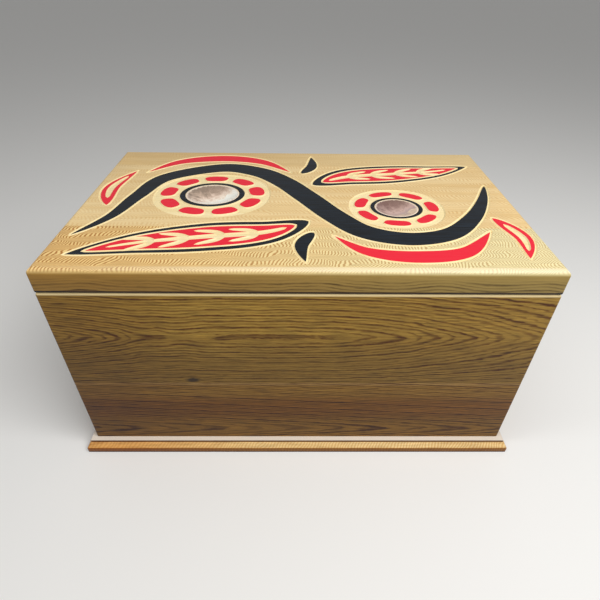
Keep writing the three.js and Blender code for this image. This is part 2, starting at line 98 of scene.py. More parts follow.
# Brush strokes: (most half width, power below 1 for a swell near the start, one for blunt ends)
STEM_SWELL = (25.0, 1.0, 0.5)
LEAF_SWELL = (45.0, 0.8, 0.75)
BLADE_SWELL = (32.0, 0.8, 0.75)
MIDRIB_SWELL = (4.5, 0.6, 0.75)
VEIN_SWELL = (3.4, 0.7, 0.75)
CRESCENT_SWELL = (18.0, 1.0, 0.75)
BUD_SWELL = (16.0, 0.8, 0.75)
SLIT_SWELL = (4.0, 0.8, 0.75)
SEED_SWELL = (13.0, 0.7, 0.75)
WHOLE = (0.0, 1.0)  # from one share of a path to another
BLADE_PART = (0.07, 0.93)
MIDRIB_PART = (0.12, 0.84)
SLIT_PART = (0.2, 0.8)
VEIN_STARTS = (0.24, 0.38, 0.52, 0.66)
VEIN_BENDS = ((0.0, 0.0), (0.045, 0.40), (0.12, 0.66))  # on along the leaf, and out across its blade
VEIN_STEPS = 100  # along a leaf, at which its veins can start and bend
CURVE_STEPS = 24  # of a smooth curve between two given points
PATH_POINTS = 240  # along a whole path, from which a stroke takes its own
FEWEST_POINTS = 8  # along a stroke

# Flowers, in multiples of their shell's half size
FLOWER_GROUND = 2.15
GROUND_FULLNESS = 0.91
FLOWER_RING = 1.26
PETAL_REACH = (1.36, 2.02)
PETAL_FILL = 0.84  # share of the round that the petals take
PETAL_FULLNESS = 0.72
PETAL_POINTS = 28
LARGE_SHELL = {"node": "lid_shell_large", "petals": 9, "first": 0.2}
SMALL_SHELL = {"node": "lid_shell_small", "petals": 7, "first": 0.1}
for shell in (LARGE_SHELL, SMALL_SHELL):
    low, high = box_in_mm(shell["node"])
    shell["centre"] = tuple((low + high) / 2)[:2]
    shell["half"] = tuple((high - low) / 2)[:2]
    shell["depth"] = high.z - low.z


def in_mm(path):
    """A path drawn on squares, in millimetres."""
    return np.array(path, float) * SQUARE


def spline(points, count):
    """Points along a smooth curve through the given ones, evenly spaced by length."""
    given = np.array(points, float)
    ends = np.vstack([given[:1], given, given[-1:]])
    fine = []
    for i in range(1, len(ends) - 2):
        a, b, c, d = ends[i - 1:i + 3]
        for t in np.linspace(0, 1, CURVE_STEPS, endpoint=False):
            fine.append(0.5 * (2 * b + (c - a) * t + (2 * a - 5 * b + 4 * c - d) * t ** 2
                               + (3 * b - a - 3 * c + d) * t ** 3))
    fine = np.array(fine + [ends[-2]])
    run = np.concatenate([[0], np.cumsum(np.hypot(*np.diff(fine, axis=0).T))])
    even = np.linspace(0, run[-1], count)
    return np.column_stack([np.interp(even, run, fine[:, k]) for k in (0, 1)])


def normals(path):
    """Unit normals to the left of an open path."""
    along = np.gradient(path, axis=0)
    along /= np.hypot(*along.T)[:, None]
    return np.column_stack([-along[:, 1], along[:, 0]])


def length(points):
    """Length of a path from point to point."""
    return float(np.hypot(*np.diff(np.array(points, float), axis=0).T).sum())


def stroke(points, half_width, part=WHOLE):
    """Closed outline of a brush stroke along part of a path: pointed at both ends, and as wide as
    half_width(t) says at t from 0 to 1."""
    count = max(FEWEST_POINTS, int(length(points) * (part[1] - part[0]) / STEP))
    whole = spline(points, PATH_POINTS)
    pick = np.linspace(part[0], part[1], count) * (len(whole) - 1)
    path = np.column_stack([np.interp(pick, np.arange(len(whole)), whole[:, k]) for k in (0, 1)])
    side = normals(path)
    wide = np.array([half_width(t) for t in np.linspace(0, 1, count)])[:, None]
    left, right = path + side * wide, path - side * wide
    return np.vstack([left, right[-2:0:-1]])


def swell(most, early, blunt):
    """Half width of a stroke that is nothing at both ends and widest in between."""
    return lambda t: most * math.sin(math.pi * t ** early) ** blunt


def signed_power(value, exponent):
    """A power of the value's size, with the value's sign."""
    return math.copysign(abs(value) ** exponent, value)


def oval(centre, half, scale=1.0, fullness=1.0):
    """Oval round a centre. A fullness below 1 makes it fuller than an ellipse."""
    around = 2 * math.pi * math.sqrt((half[0] ** 2 + half[1] ** 2) / 2) * scale
    count = int(around / STEP)
    points = []
    for i in range(count):
        turn = 2 * math.pi * i / count
        points.append((
            centre[0] + half[0] * scale * signed_power(math.cos(turn), fullness),
            centre[1] + half[1] * scale * signed_power(math.sin(turn), fullness),
        ))
    return np.array(points)


def petal(shell, number):
    """A petal is a rounded patch between two ovals and two directions."""
    start, end = PETAL_REACH
    middle = shell["first"] + 2 * math.pi * number / shell["petals"]
    points = []
    for i in range(PETAL_POINTS):
        turn = 2 * math.pi * i / PETAL_POINTS
        along = signed_power(-math.cos(turn), PETAL_FULLNESS) / 2
        across = signed_power(math.sin(turn), PETAL_FULLNESS)
        out = (start + end) / 2 + along * (end - start)
        angle = middle + across * PETAL_FILL * math.pi / shell["petals"]
        points.append((
            shell["centre"][0] + shell["half"][0] * out * math.cos(angle),
            shell["centre"][1] + shell["half"][1] * out * math.sin(angle),
        ))
    return np.array(points)


def flower(shell):
    """Red petals round a black ring, on a ground that is cut away."""
    centre, half = shell["centre"], shell["half"]
    return [
        (oval(centre, half, FLOWER_GROUND, GROUND_FULLNESS), "ground"),
        *((petal(shell, number), "red") for number in range(shell["petals"])),
        (oval(centre, half, FLOWER_RING), "black"),
    ]


def leaf(points):
    """A leaf: black edge, red blade, and a midrib and side veins cut to bare wood."""
    blade = swell(*BLADE_SWELL)
    shapes = [
        (stroke(points, swell(*LEAF_SWELL)), "black"),
        (stroke(points, blade, BLADE_PART), "red"),
        (stroke(points, swell(*MIDRIB_SWELL), MIDRIB_PART), "bare"),
    ]
    path = spline(points, VEIN_STEPS + 1)
    side = normals(path)
    for start in VEIN_STARTS:
        for turn in (-1, 1):
            vein = []
            for along, out in VEIN_BENDS:
                i = int(round(VEIN_STEPS * (start + along)))
                vein.append(path[i] + turn * out * blade(start) * side[i])
            shapes.append((stroke(vein, swell(*VEIN_SWELL)), "bare"))
    return shapes


def ornament():
    """All shapes of the lid's ornament as (outline, fill), from the lowest to the uppermost."""
    shapes = [*flower(LARGE_SHELL), *flower(SMALL_SHELL), *leaf(in_mm(FRONT_LEAF)), *leaf(in_mm(BACK_LEAF))]
    for path, form, part, fill in (
        (BACK_CRESCENT, CRESCENT_SWELL, WHOLE, "red"),
        (FRONT_CRESCENT, CRESCENT_SWELL, WHOLE, "red"),
        (LEFT_BUD, BUD_SWELL, WHOLE, "red"),
        (LEFT_BUD, SLIT_SWELL, SLIT_PART, "bare"),
        (RIGHT_BUD, BUD_SWELL, WHOLE, "red"),
        (RIGHT_BUD, SLIT_SWELL, SLIT_PART, "bare"),
        (BACK_SEED, SEED_SWELL, WHOLE, "black"),
        (FRONT_SEED, SEED_SWELL, WHOLE, "black"),
        (STEM, STEM_SWELL, WHOLE, "black"),
    ):
        shapes.append((stroke(in_mm(path), swell(*form), part), fill))
    return shapes


# Relief of the lid's top

POINTS_AT_A_TIME = 3000  # whose distances to an outline are worked out together
NO_LENGTH = 1e-9


def is_inside(outline, points):
    """Which points lie inside a closed outline."""
    x, y = points[:, :1], points[:, 1:]
    x0, y0 = outline.T
    x1, y1 = np.roll(outline, -1, axis=0).T
    straddles = (y0 > y) != (y1 > y)
    crossing = (x1 - x0) * (y - y0) / np.where(y1 == y0, 1.0, y1 - y0) + x0
    return (straddles & (x < crossing)).sum(1) % 2 == 1


def distance_to(outline, points):
    """Distance from each point to a closed outline."""
    run = np.roll(outline, -1, axis=0) - outline
    squared = (run ** 2).sum(1)
    found = []
    for part in np.array_split(points, max(1, len(points) // POINTS_AT_A_TIME)):
        offset = part[:, None, :] - outline[None]
        t = np.clip((offset * run).sum(2) / np.where(squared == 0, 1.0, squared), 0, 1)
        found.append(np.sqrt(((offset - t[..., None] * run) ** 2).sum(2).min(1)))
    return np.concatenate(found)


def carve(shapes, points):
    """Finish and height of each point of the lid's top: shapes later in the list win."""
    finish = np.full(len(points), "wood", dtype="U8")
    height = np.zeros(len(points))
    for outline, fill in shapes:
        low, high = outline.min(0) - GROOVE, outline.max(0) + GROOVE
        near = np.nonzero(((points > low) & (points < high)).all(1))[0]
        if not len(near):
            continue
        local = points[near]
        within = is_inside(outline, local)
        gap = distance_to(outline, local)
        in_groove = gap < GROOVE
        slope = -CARVED * np.clip(1 - gap / GROOVE, 0, 1)
        floor = np.full(len(local), -CARVED)
        is_cut = fill in ("ground", "bare")
        new = np.where(within, floor if is_cut else slope, np.minimum(height[near], slope))
        touched = within | in_groove
        height[near] = np.where(touched, new, height[near])
        label = np.where(in_groove, "cut", "cut" if fill == "bare" else fill)
        finish[near] = np.where(touched, label, finish[near])
    return finish, height


def offset_loop(outline, amount):
    """The closed outline moved sideways by an amount, with its sharp tips kept short."""
    before = outline - np.roll(outline, 1, axis=0)
    after = np.roll(outline, -1, axis=0) - outline
    before /= np.maximum(np.hypot(*before.T), NO_LENGTH)[:, None]
    after /= np.maximum(np.hypot(*after.T), NO_LENGTH)[:, None]
    across = np.column_stack([-(before + after)[:, 1], (before + after)[:, 0]])
    across /= np.maximum(np.hypot(*across.T), NO_LENGTH)[:, None]
    return outline + amount * across


# Lid boards: a carved top, rounded outer edges and plain faces at the glued seams

TOP_ARRIS = 8.0
LOWER_ARRIS = 3.0
PLAN_RADIUS = 3.0
SEAM_ARRIS = 0.35
ARRIS_STEPS = 10
LOWER_ARRIS_STEPS = 4
CORNER_STEPS = 6
SHELL_BED_FIT = 0.3
BED_RINGS = 10
FINISHES = {"wood": 0, "red": 1, "black": 2, "cut": 3, "ground": 3}
OUTLINE_MARGIN = 12.0  # beyond a board, up to which the ornament's outlines are kept
GOUGE_SPACING = 2.6  # of the points that carry the gouge marks
GOUGE_SHAKE = 0.3  # of that spacing, by which each point is off the grid
GOUGE_MARGIN = 8.0  # to the board's edges
GOUGE_MARK = (9.0, 5.0)  # length along the grain, and width
MERGED = 1e-4  # distance at which points of the top count as one
ON_RING = 1e-3  # distance at which a point counts as on a ring
SHARP_CARVING = math.radians(20)


def board_ring(low, high, is_seam, inset, seam_inset):
    """Outline of a board in plan. is_seam tells which of its front and back sides are glued."""
    x0, x1 = low[0] + inset, high[0] - inset
    y0 = low[1] + (seam_inset if is_seam[0] else inset)
    y1 = high[1] - (seam_inset if is_seam[1] else inset)
    radius = max(PLAN_RADIUS - inset, PLAN_RADIUS / 4)
    ring = []
    corners = ((x1, y1, 1, 1, 0), (x0, y1, -1, 1, 1), (x0, y0, -1, -1, 2), (x1, y0, 1, -1, 3))
    for x, y, side_x, side_y, first in corners:
        if is_seam[1 if side_y > 0 else 0]:
            ring.append((x, y))
            continue
        for step in range(CORNER_STEPS + 1):
            angle = (first + step / CORNER_STEPS) * math.pi / 2
            ring.append((
                x - side_x * radius + radius * math.cos(angle),
                y - side_y * radius + radius * math.sin(angle),
            ))
    return np.array(ring)


def place_on_ring(ring, points):
    """For points on a closed ring: the index of their segment plus how far along it they are."""
    run = np.roll(ring, -1, axis=0) - ring
    offset = points[:, None, :] - ring[None]
    t = np.clip((offset * run).sum(2) / (run ** 2).sum(1), 0, 1)
    gap = np.sqrt(((offset - t[..., None] * run) ** 2).sum(2))
    nearest = gap.argmin(1)
    rows = np.arange(len(points))
    return nearest + t[rows, nearest], gap[rows, nearest]


def at_place(ring, places):
    """Points of a closed ring at places as place_on_ring gives them."""
    index = places.astype(int) % len(ring)
    part = (places - places.astype(int))[:, None]
    return ring[index] * (1 - part) + np.roll(ring, -1, axis=0)[index] * part


def tool_mark_points(shapes, low, high):
    """Places on the cut-away ground where the gouge left its marks, on a shaken grid."""
    random = np.random.default_rng(7)
    xs, ys = (np.arange(low[k] + GOUGE_MARGIN, high[k] - GOUGE_MARGIN, GOUGE_SPACING) for k in (0, 1))
    grid = np.stack(np.meshgrid(xs, ys), -1).reshape(-1, 2)
    grid += random.uniform(-GOUGE_SHAKE, GOUGE_SHAKE, grid.shape) * GOUGE_SPACING
    finish, _ = carve(shapes, grid)
    return grid[finish == "ground"]


def gouge_height(x, y):
    """Shallow scoops of a small gouge that run along the grain."""
    near = noise.voronoi(Vector((x / GOUGE_MARK[0], y / GOUGE_MARK[1], 0.0)))[0][0]
    return TOOL_MARK * (min(near, 1.0) - 0.5) * 2


def dish_depth(share, mouth, sag):
    """Depth of an arc that is as wide as a mouth and as deep as a sag, at a share of its radius."""
    radius = (mouth ** 2 + sag ** 2) / (2 * sag)
    return math.sqrt(radius ** 2 - (mouth * share) ** 2) - (radius - sag)


def board_levels(bottom, top):
    """Inset of the outline, inset at the seams and height, from the top edge to the underside."""
    levels = []
    for step in range(ARRIS_STEPS, -1, -1):
        angle = step / ARRIS_STEPS * math.pi / 2
        seam = SEAM_ARRIS if step == ARRIS_STEPS else 0.0
        levels.append((TOP_ARRIS * (1 - math.cos(angle)), seam, top - TOP_ARRIS * (1 - math.sin(angle))))
    for step in range(LOWER_ARRIS_STEPS + 1):
        angle = step / LOWER_ARRIS_STEPS * math.pi / 2
        inset = LOWER_ARRIS * (1 - math.cos(angle))
        levels.append((inset, 0.0, bottom + LOWER_ARRIS * (1 - math.sin(angle))))
    return levels


def carved_top(outer, holes, shapes, low, high):
    """Points and triangles of a board's top, cut so that no triangle crosses a carved line."""
    verts, edges, faces = [], [], []

    def add_loop(loop):
        start = len(verts)
        verts.extend(Vector(p) for p in loop)
        edges.extend((start + i, start + (i + 1) % len(loop)) for i in range(len(loop)))
        faces.append(list(range(start, start + len(loop))))

    add_loop(outer)
    for hole in holes:
        add_loop(hole)
    for outline, _ in shapes:
        for amount in (0.0, GROOVE, -GROOVE):
            loop = offset_loop(outline, amount) if amount else outline
            inside = ((loop > low - OUTLINE_MARGIN) & (loop < high + OUTLINE_MARGIN)).all(1)
            start = len(verts)
            numbers = np.cumsum(inside) - 1
            verts.extend(Vector(p) for p in loop[inside])
            for i in range(len(loop)):
                j = (i + 1) % len(loop)
                if inside[i] and inside[j]:
                    edges.append((start + int(numbers[i]), start + int(numbers[j])))
    verts.extend(Vector(p) for p in tool_mark_points(shapes, low, high))
    found = delaunay_2d_cdt(verts, edges, faces, 0, MERGED)
    flat = np.array([tuple(v) for v in found[0]])
    triangles = [
        tri for tri, owners in zip(found[2], found[5])
        if 0 in owners and not any(k + 1 in owners for k in range(len(holes)))
    ]
    return flat, triangles


def vertex(bm, x, y, z):
    """A vertex at a place in millimetres."""
    return bm.verts.new((x * MM, y * MM, z * MM))


def faces_between(bm, first, second):
    """The faces between two closed loops of vertices."""
    first_next, second_next = first[1:] + first[:1], second[1:] + second[:1]
    return [bm.faces.new(corners) for corners in zip(first, first_next, second_next, second)]


def lid_board(name, is_seam, shapes, shells, finishes):
    """A lid board with its carving, its rounded outer edges and the beds of its shells."""
    node_low, node_high = box_in_mm(name)
    low, high = np.array(node_low[:2]), np.array(node_high[:2])
    top = node_high.z
    levels = board_levels(node_low.z, top)
    rings = [board_ring(low, high, is_seam, inset, seam) for inset, seam, _ in levels]
    holes = [oval(shell["centre"], [h + SHELL_BED_FIT for h in shell["half"]]) for shell in shells]
    flat, triangles = carved_top(rings[0], holes, shapes, low, high)
    finish, height = carve(shapes, flat)
    for i in np.nonzero(finish == "ground")[0]:
        height[i] += gouge_height(*flat[i])
    used = np.zeros(len(flat), bool)
    used[np.unique([i for tri in triangles for i in tri])] = True
    centres = np.array([flat[list(tri)].mean(0) for tri in triangles])

    bm = bmesh.new()
    made = {i: vertex(bm, *flat[i], top + height[i]) for i in np.nonzero(used)[0]}
    for tri, what in zip(triangles, carve(shapes, centres)[0]):
        bm.faces.new([made[i] for i in tri]).material_index = FINISHES[what]

    def on_ring(ring):
        """The top's points on a ring, in their order round it, and their places there."""
        places, gaps = place_on_ring(ring, flat)
        found = sorted(np.nonzero(used & (gaps < ON_RING))[0], key=lambda i: places[i])
        return found, places[found]

    # Edges and underside, from the rim of the carved top down
    rim, rim_places = on_ring(rings[0])
    paint = carve(shapes, (flat[rim] + flat[np.roll(rim, -1)]) / 2)[0]
    last = [made[i] for i in rim]
    for ring, (_, _, z) in zip(rings[1:], levels[1:]):
        here = [vertex(bm, x, y, z) for x, y in at_place(ring, rim_places)]
        for edge, what in zip(faces_between(bm, last, here), paint):
            edge.smooth = True
            edge.material_index = FINISHES[what] if ring is rings[1] else 0
        last = here
    bm.faces.new(list(reversed(last)))

    # Beds of the shells
    for shell, hole in zip(shells, holes):
        rim, _ = on_ring(hole)
        centre = np.array(shell["centre"])
        last = [made[i] for i in rim]
        mouth, sag = shell["half"][0] + SHELL_BED_FIT, shell["depth"] + SHELL_BED_FIT
        for k in range(1, BED_RINGS):
            share = 1 - k / BED_RINGS
            z = top - dish_depth(share, mouth, sag)
            spots = centre + (flat[rim] - centre) * share
            here = [vertex(bm, x, y, z) for x, y in spots]
            for face in faces_between(bm, here, last):
                face.material_index = FINISHES["cut"]
            last = here
        bm.faces.new(last).material_index = FINISHES["cut"]
    bmesh.ops.recalc_face_normals(bm, faces=bm.faces)
    board = piece_of(name + "_carved", bm, finishes, "lid", [name])
    board.data.set_sharp_from_angle(angle=SHARP_CARVING)


def piece_of(name, bm, materials, body, nodes):
    """A finished mesh as a piece that stands for packed ones."""
    mesh = bpy.data.meshes.new(name)
    bm.to_mesh(mesh)
    bm.free()
    for material in materials:
        mesh.materials.append(material)
    return stand_for(bpy.data.objects.new(name, mesh), body, nodes)


def stand_for(piece, body, nodes):
    """Puts a piece in the scene, on its body and in the place of packed ones."""
    bpy.context.scene.collection.objects.link(piece)
    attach(piece, body)
    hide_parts(*nodes)
    return piece


# Shells: an abalone-like dish, ground to an oval, with a rounded lip and a slightly wavy inside

SHELL_SIDES = 96
SHELL_RINGS = 22
SHELL_THICKNESS = 2.5
SHELL_WAVE = 0.25  # height of the waves of the inside
SHELL_WAVE_LENGTH = 13.0
SHELL_LIP = ((0.0, 0.7), (0.2, 0.2), (0.7, 0.0), (1.8, 0.0), (2.3, 0.25))  # in from the rim, and down


def shell_dish(shell, material):
    """Rings of half sizes, height and share of the waves: from the bottom out, over the lip and in."""
    half = Vector(shell["half"])
    inner_half, inner_sag = half.x - SHELL_THICKNESS, shell["depth"] - SHELL_THICKNESS
    shares = [k / SHELL_RINGS for k in range(1, SHELL_RINGS)]
    rings = [(share * half.x, share * half.y, -dish_depth(share, half.x, shell["depth"]), 0.0)
             for share in shares]
    rings += [(half.x - inset, half.y - inset, -drop, 0.0) for inset, drop in SHELL_LIP]
    for share in reversed(shares):
        z = -dish_depth(share, inner_half, inner_sag)
        rings.append((share * inner_half, share * (half.y - SHELL_THICKNESS), z, 1 - share ** 4))

    bm = bmesh.new()
    loops = []
    for size_x, size_y, z, wavy in rings:
        loop = []
        for i in range(SHELL_SIDES):
            angle = 2 * math.pi * i / SHELL_SIDES
            x = shell["centre"][0] + size_x * math.cos(angle)
            y = shell["centre"][1] + size_y * math.sin(angle)
            spot = Vector((x / SHELL_WAVE_LENGTH, y / SHELL_WAVE_LENGTH, 0.0))
            wave = SHELL_WAVE * wavy * noise.noise(spot)
            loop.append(vertex(bm, x, y, LID_TOP + z + wave))
        loops.append(loop)
    for loop, next_loop in zip(loops, loops[1:]):
        faces_between(bm, loop, next_loop)
    for loop, sag in ((loops[0], shell["depth"]), (loops[-1], inner_sag)):
        pole = vertex(bm, *shell["centre"], LID_TOP - sag)
        for i in range(SHELL_SIDES):
            bm.faces.new((loop[i], loop[(i + 1) % SHELL_SIDES], pole))
    for face in bm.faces:
        face.smooth = True
    bmesh.ops.recalc_face_normals(bm, faces=bm.faces)
    piece_of(shell["node"] + "_polished", bm, [material], "lid", [shell["node"]])


# Countersunk screws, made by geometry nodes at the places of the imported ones

BASE_SCREW = {"Shank Radius": 2.25, "Head Radius": 4.2, "Head Depth": 2.6, "Tip Length": 5.0, "Length": 50.0,
              "Thread Pitch": 2.0, "Recess Width": 1.1}
RIM_SCREW = {"Shank Radius": 1.75, "Head Radius": 3.4, "Head Depth": 2.1, "Tip Length": 4.0, "Length": 30.0,
             "Thread Pitch": 1.7, "Recess Width": 0.9}
CORE_SHARE = 0.78  # of the shank's radius that is left below the thread
THREAD_SHARE = 0.2  # of the shank's radius that the thread stands out
RECESS_REACH = 1.2  # length of each slot of the cross recess, in radii of the head
RECESS_CUT = 1.4  # height of the block that cuts it, half of which goes in, in depths of the head
THREADED_SHARE = 0.7  # of the straight part below the head
HEAD_SIDES = 32
SHANK_SIDES = 20
THREAD_STEPS = 16  # of each turn of the thread
SCREW_COUNT = 12
SHARP_METAL = math.radians(35)


def screw_nodes():
    """A screw that points up on each point: head with a cross recess, core, tip and thread."""
    tree = bpy.data.node_groups.new("countersunk_screws", "GeometryNodeTree")
    tree.interface.new_socket("Places", in_out="INPUT", socket_type="NodeSocketGeometry")
    for label in BASE_SCREW:
        tree.interface.new_socket(label, in_out="INPUT", socket_type="NodeSocketFloat")
    tree.interface.new_socket("Metal", in_out="INPUT", socket_type="NodeSocketMaterial")
    tree.interface.new_socket("Screws", in_out="OUTPUT", socket_type="NodeSocketGeometry")
    given = tree.nodes.new("NodeGroupInput").outputs

    core = add(tree, "ShaderNodeMath", {0: given["Shank Radius"], 1: CORE_SHARE}, operation="MULTIPLY")
    thread = add(tree, "ShaderNodeMath", {0: given["Shank Radius"], 1: THREAD_SHARE}, operation="MULTIPLY")
    tip_place = add(tree, "ShaderNodeMath", {0: given["Length"], 1: given["Tip Length"]},
                    operation="SUBTRACT")
    straight = add(tree, "ShaderNodeMath", {0: tip_place, 1: given["Head Depth"]}, operation="SUBTRACT")
    head = add(tree, "GeometryNodeMeshCone", {
        "Vertices": HEAD_SIDES, "Radius Top": given["Shank Radius"], "Radius Bottom": given["Head Radius"],
        "Depth": given["Head Depth"],
    })
    reach = add(tree, "ShaderNodeMath", {0: given["Head Radius"], 1: RECESS_REACH}, operation="MULTIPLY")
    deep = add(tree, "ShaderNodeMath", {0: given["Head Depth"], 1: RECESS_CUT}, operation="MULTIPLY")
    cut_head = add(tree, "GeometryNodeMeshBoolean", {"Mesh 1": head},
                   operation="DIFFERENCE", solver="EXACT")
    for size_x, size_y in ((reach, given["Recess Width"]), (given["Recess Width"], reach)):
        size = add(tree, "ShaderNodeCombineXYZ", {"X": size_x, "Y": size_y, "Z": deep})
        recess = add(tree, "GeometryNodeMeshCube", {"Size": size})
        tree.links.new(recess.outputs["Mesh"], cut_head.inputs["Mesh 2"])
    shank = add(tree, "GeometryNodeMeshCylinder",
                {"Vertices": SHANK_SIDES, "Radius": core, "Depth": straight})
    shank_place = add(tree, "ShaderNodeMath", {0: straight, 1: 0.5, 2: given["Head Depth"]},
                      operation="MULTIPLY_ADD")
    tip = add(tree, "GeometryNodeMeshCone", {
        "Vertices": SHANK_SIDES, "Radius Top": 0.0, "Radius Bottom": core, "Depth": given["Tip Length"],
    })
    threaded = add(tree, "ShaderNodeMath", {0: straight, 1: THREADED_SHARE}, operation="MULTIPLY")
    turns = add(tree, "ShaderNodeMath", {0: threaded, 1: given["Thread Pitch"]}, operation="DIVIDE")
    helix = add(tree, "GeometryNodeCurveSpiral", {
        "Resolution": THREAD_STEPS, "Rotations": turns, "Start Radius": core, "End Radius": core,
        "Height": threaded,
    })
    ridge = add(tree, "GeometryNodeCurvePrimitiveCircle", {"Resolution": 4, "Radius": thread})
    coil = add(tree, "GeometryNodeCurveToMesh",
               {"Curve": helix, "Profile Curve": ridge, "Fill Caps": True})
    joined = add(tree, "GeometryNodeJoinGeometry", {"Geometry": cut_head})
    thread_place = add(tree, "ShaderNodeMath", {0: tip_place, 1: threaded}, operation="SUBTRACT")
    for mesh, z in ((shank, shank_place), (tip, tip_place), (coil, thread_place)):
        up = add(tree, "ShaderNodeCombineXYZ", {"Z": z})
        raised = add(tree, "GeometryNodeTransform", {"Geometry": mesh, "Translation": up})
        tree.links.new(raised.outputs[0], joined.inputs["Geometry"])
    small = add(tree, "GeometryNodeTransform", {"Geometry": joined, "Scale": (MM, MM, MM)})
    placed = add(tree, "GeometryNodeInstanceOnPoints", {"Points": given["Places"], "Instance": small})
    real = add(tree, "GeometryNodeRealizeInstances", {"Geometry": placed})
    metal = add(tree, "GeometryNodeSetMaterial", {"Geometry": real, "Material": given["Metal"]})
    tree.links.new(metal.outputs[0], tree.nodes.new("NodeGroupOutput").inputs["Screws"])
    return tree


def screws(tree, prefix, body, kind, metal):
    """All screws of one body as one piece, each in the place of its packed one."""
    nodes = [f"{prefix}_screw_{number}" for number in range(1, SCREW_COUNT + 1)]
    heads = []
    for node in nodes:
        low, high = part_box(node)
        heads.append(((low.x + high.x) / 2, (low.y + high.y) / 2, low.z))
    points = bpy.data.meshes.new(f"{prefix}_screw_places")
    points.from_pydata(heads, [], [])
    holder = bpy.data.objects.new(f"{prefix}_screw_places", points)
    bpy.context.scene.collection.objects.link(holder)
    maker = holder.modifiers.new("screws", "NODES")
    maker.node_group = tree
    socket_of = {item.name: item.identifier for item in tree.interface.items_tree if item.in_out == "INPUT"}
    for label, value in kind.items():
        maker[socket_of[label]] = value
    maker[socket_of["Metal"]] = metal
    bpy.context.view_layer.update()
    whole = holder.evaluated_get(bpy.context.evaluated_depsgraph_get())
    mesh = bpy.data.meshes.new_from_object(whole)
    mesh.name = f"{prefix}_screws"
    bpy.data.objects.remove(holder)
    mesh.set_sharp_from_angle(angle=SHARP_METAL)
    stand_for(bpy.data.objects.new(f"{prefix}_screws", mesh), body, nodes)


# Materials

def linear(code):
    """sRGB hex colour as linear red, green, blue and full alpha."""
    parts = [int(code[i:i + 2], 16) / 255 for i in (1, 3, 5)]
    return [c / 12.92 if c <= 0.04045 else ((c + 0.055) / 1.055) ** 2.4 for c in parts] + [1.0]


def add(tree, kind, inputs=None, stops=(), **settings):
    """One node with its settings. Its sockets are set to values, or linked from other sockets or from
    the first outputs of other nodes. Stops are a colour ramp's, as (position, grey or colour)."""
    made = tree.nodes.new(kind)
    for key, value in settings.items():
        setattr(made, key, value)
    for key, value in (inputs or {}).items():
        if isinstance(value, bpy.types.Node):
            value = value.outputs[0]
        if isinstance(value, bpy.types.NodeSocket):
            tree.links.new(value, made.inputs[key])
        else:
            made.inputs[key].default_value = value
    for i, (position, value) in enumerate(stops):
        element = made.color_ramp.elements[i] if i < 2 else made.color_ramp.elements.new(position)
        element.position = position
        element.color = value if isinstance(value, list) else (value, value, value, 1.0)
    return made


CURVE_TOP = 100.0  # millimetres that count as 1 in a float curve


def along_length(tree, x, points):
    """A value in millimetres that changes along the chest through points of (x, value)."""
    share = add(tree, "ShaderNodeMapRange",
                {"Value": x, "From Min": LID_LOW.x, "From Max": LID_HIGH.x, "To Max": 1.0})
    made = add(tree, "ShaderNodeFloatCurve", {"Value": share})
    drawn = made.mapping.curves[0].points
    for i, (place, value) in enumerate(points):
        spot = ((place - LID_LOW.x) / LID_LENGTH, value / CURVE_TOP)
        if i < 2:
            drawn[i].location = spot
        else:
            drawn.new(*spot)
    made.mapping.update()
    return add(tree, "ShaderNodeMath", {0: made, 1: CURVE_TOP}, operation="MULTIPLY")


def noise_along(tree, place, along, across, detail, roughness=0.5, seed=None):
    """Noise about zero, whose patches are so many millimetres long and wide."""
    scaled = add(tree, "ShaderNodeVectorMath",
                 {0: place, 1: (1 / along, 1 / across, 1 / across)}, operation="MULTIPLY")
    if seed is not None:
        scaled = add(tree, "ShaderNodeVectorMath", {0: scaled, 1: seed}, operation="ADD")
    made = add(tree, "ShaderNodeTexNoise",
               {"Vector": scaled, "Scale": 1.0, "Detail": detail, "Roughness": roughness})
    return add(tree, "ShaderNodeMath", {0: made, 1: 0.5}, operation="SUBTRACT")


FIGURE_SIZES = ("Reach", "Taper", "Roll", "Bluntness", "Ring Width", "Wave", "Seed")


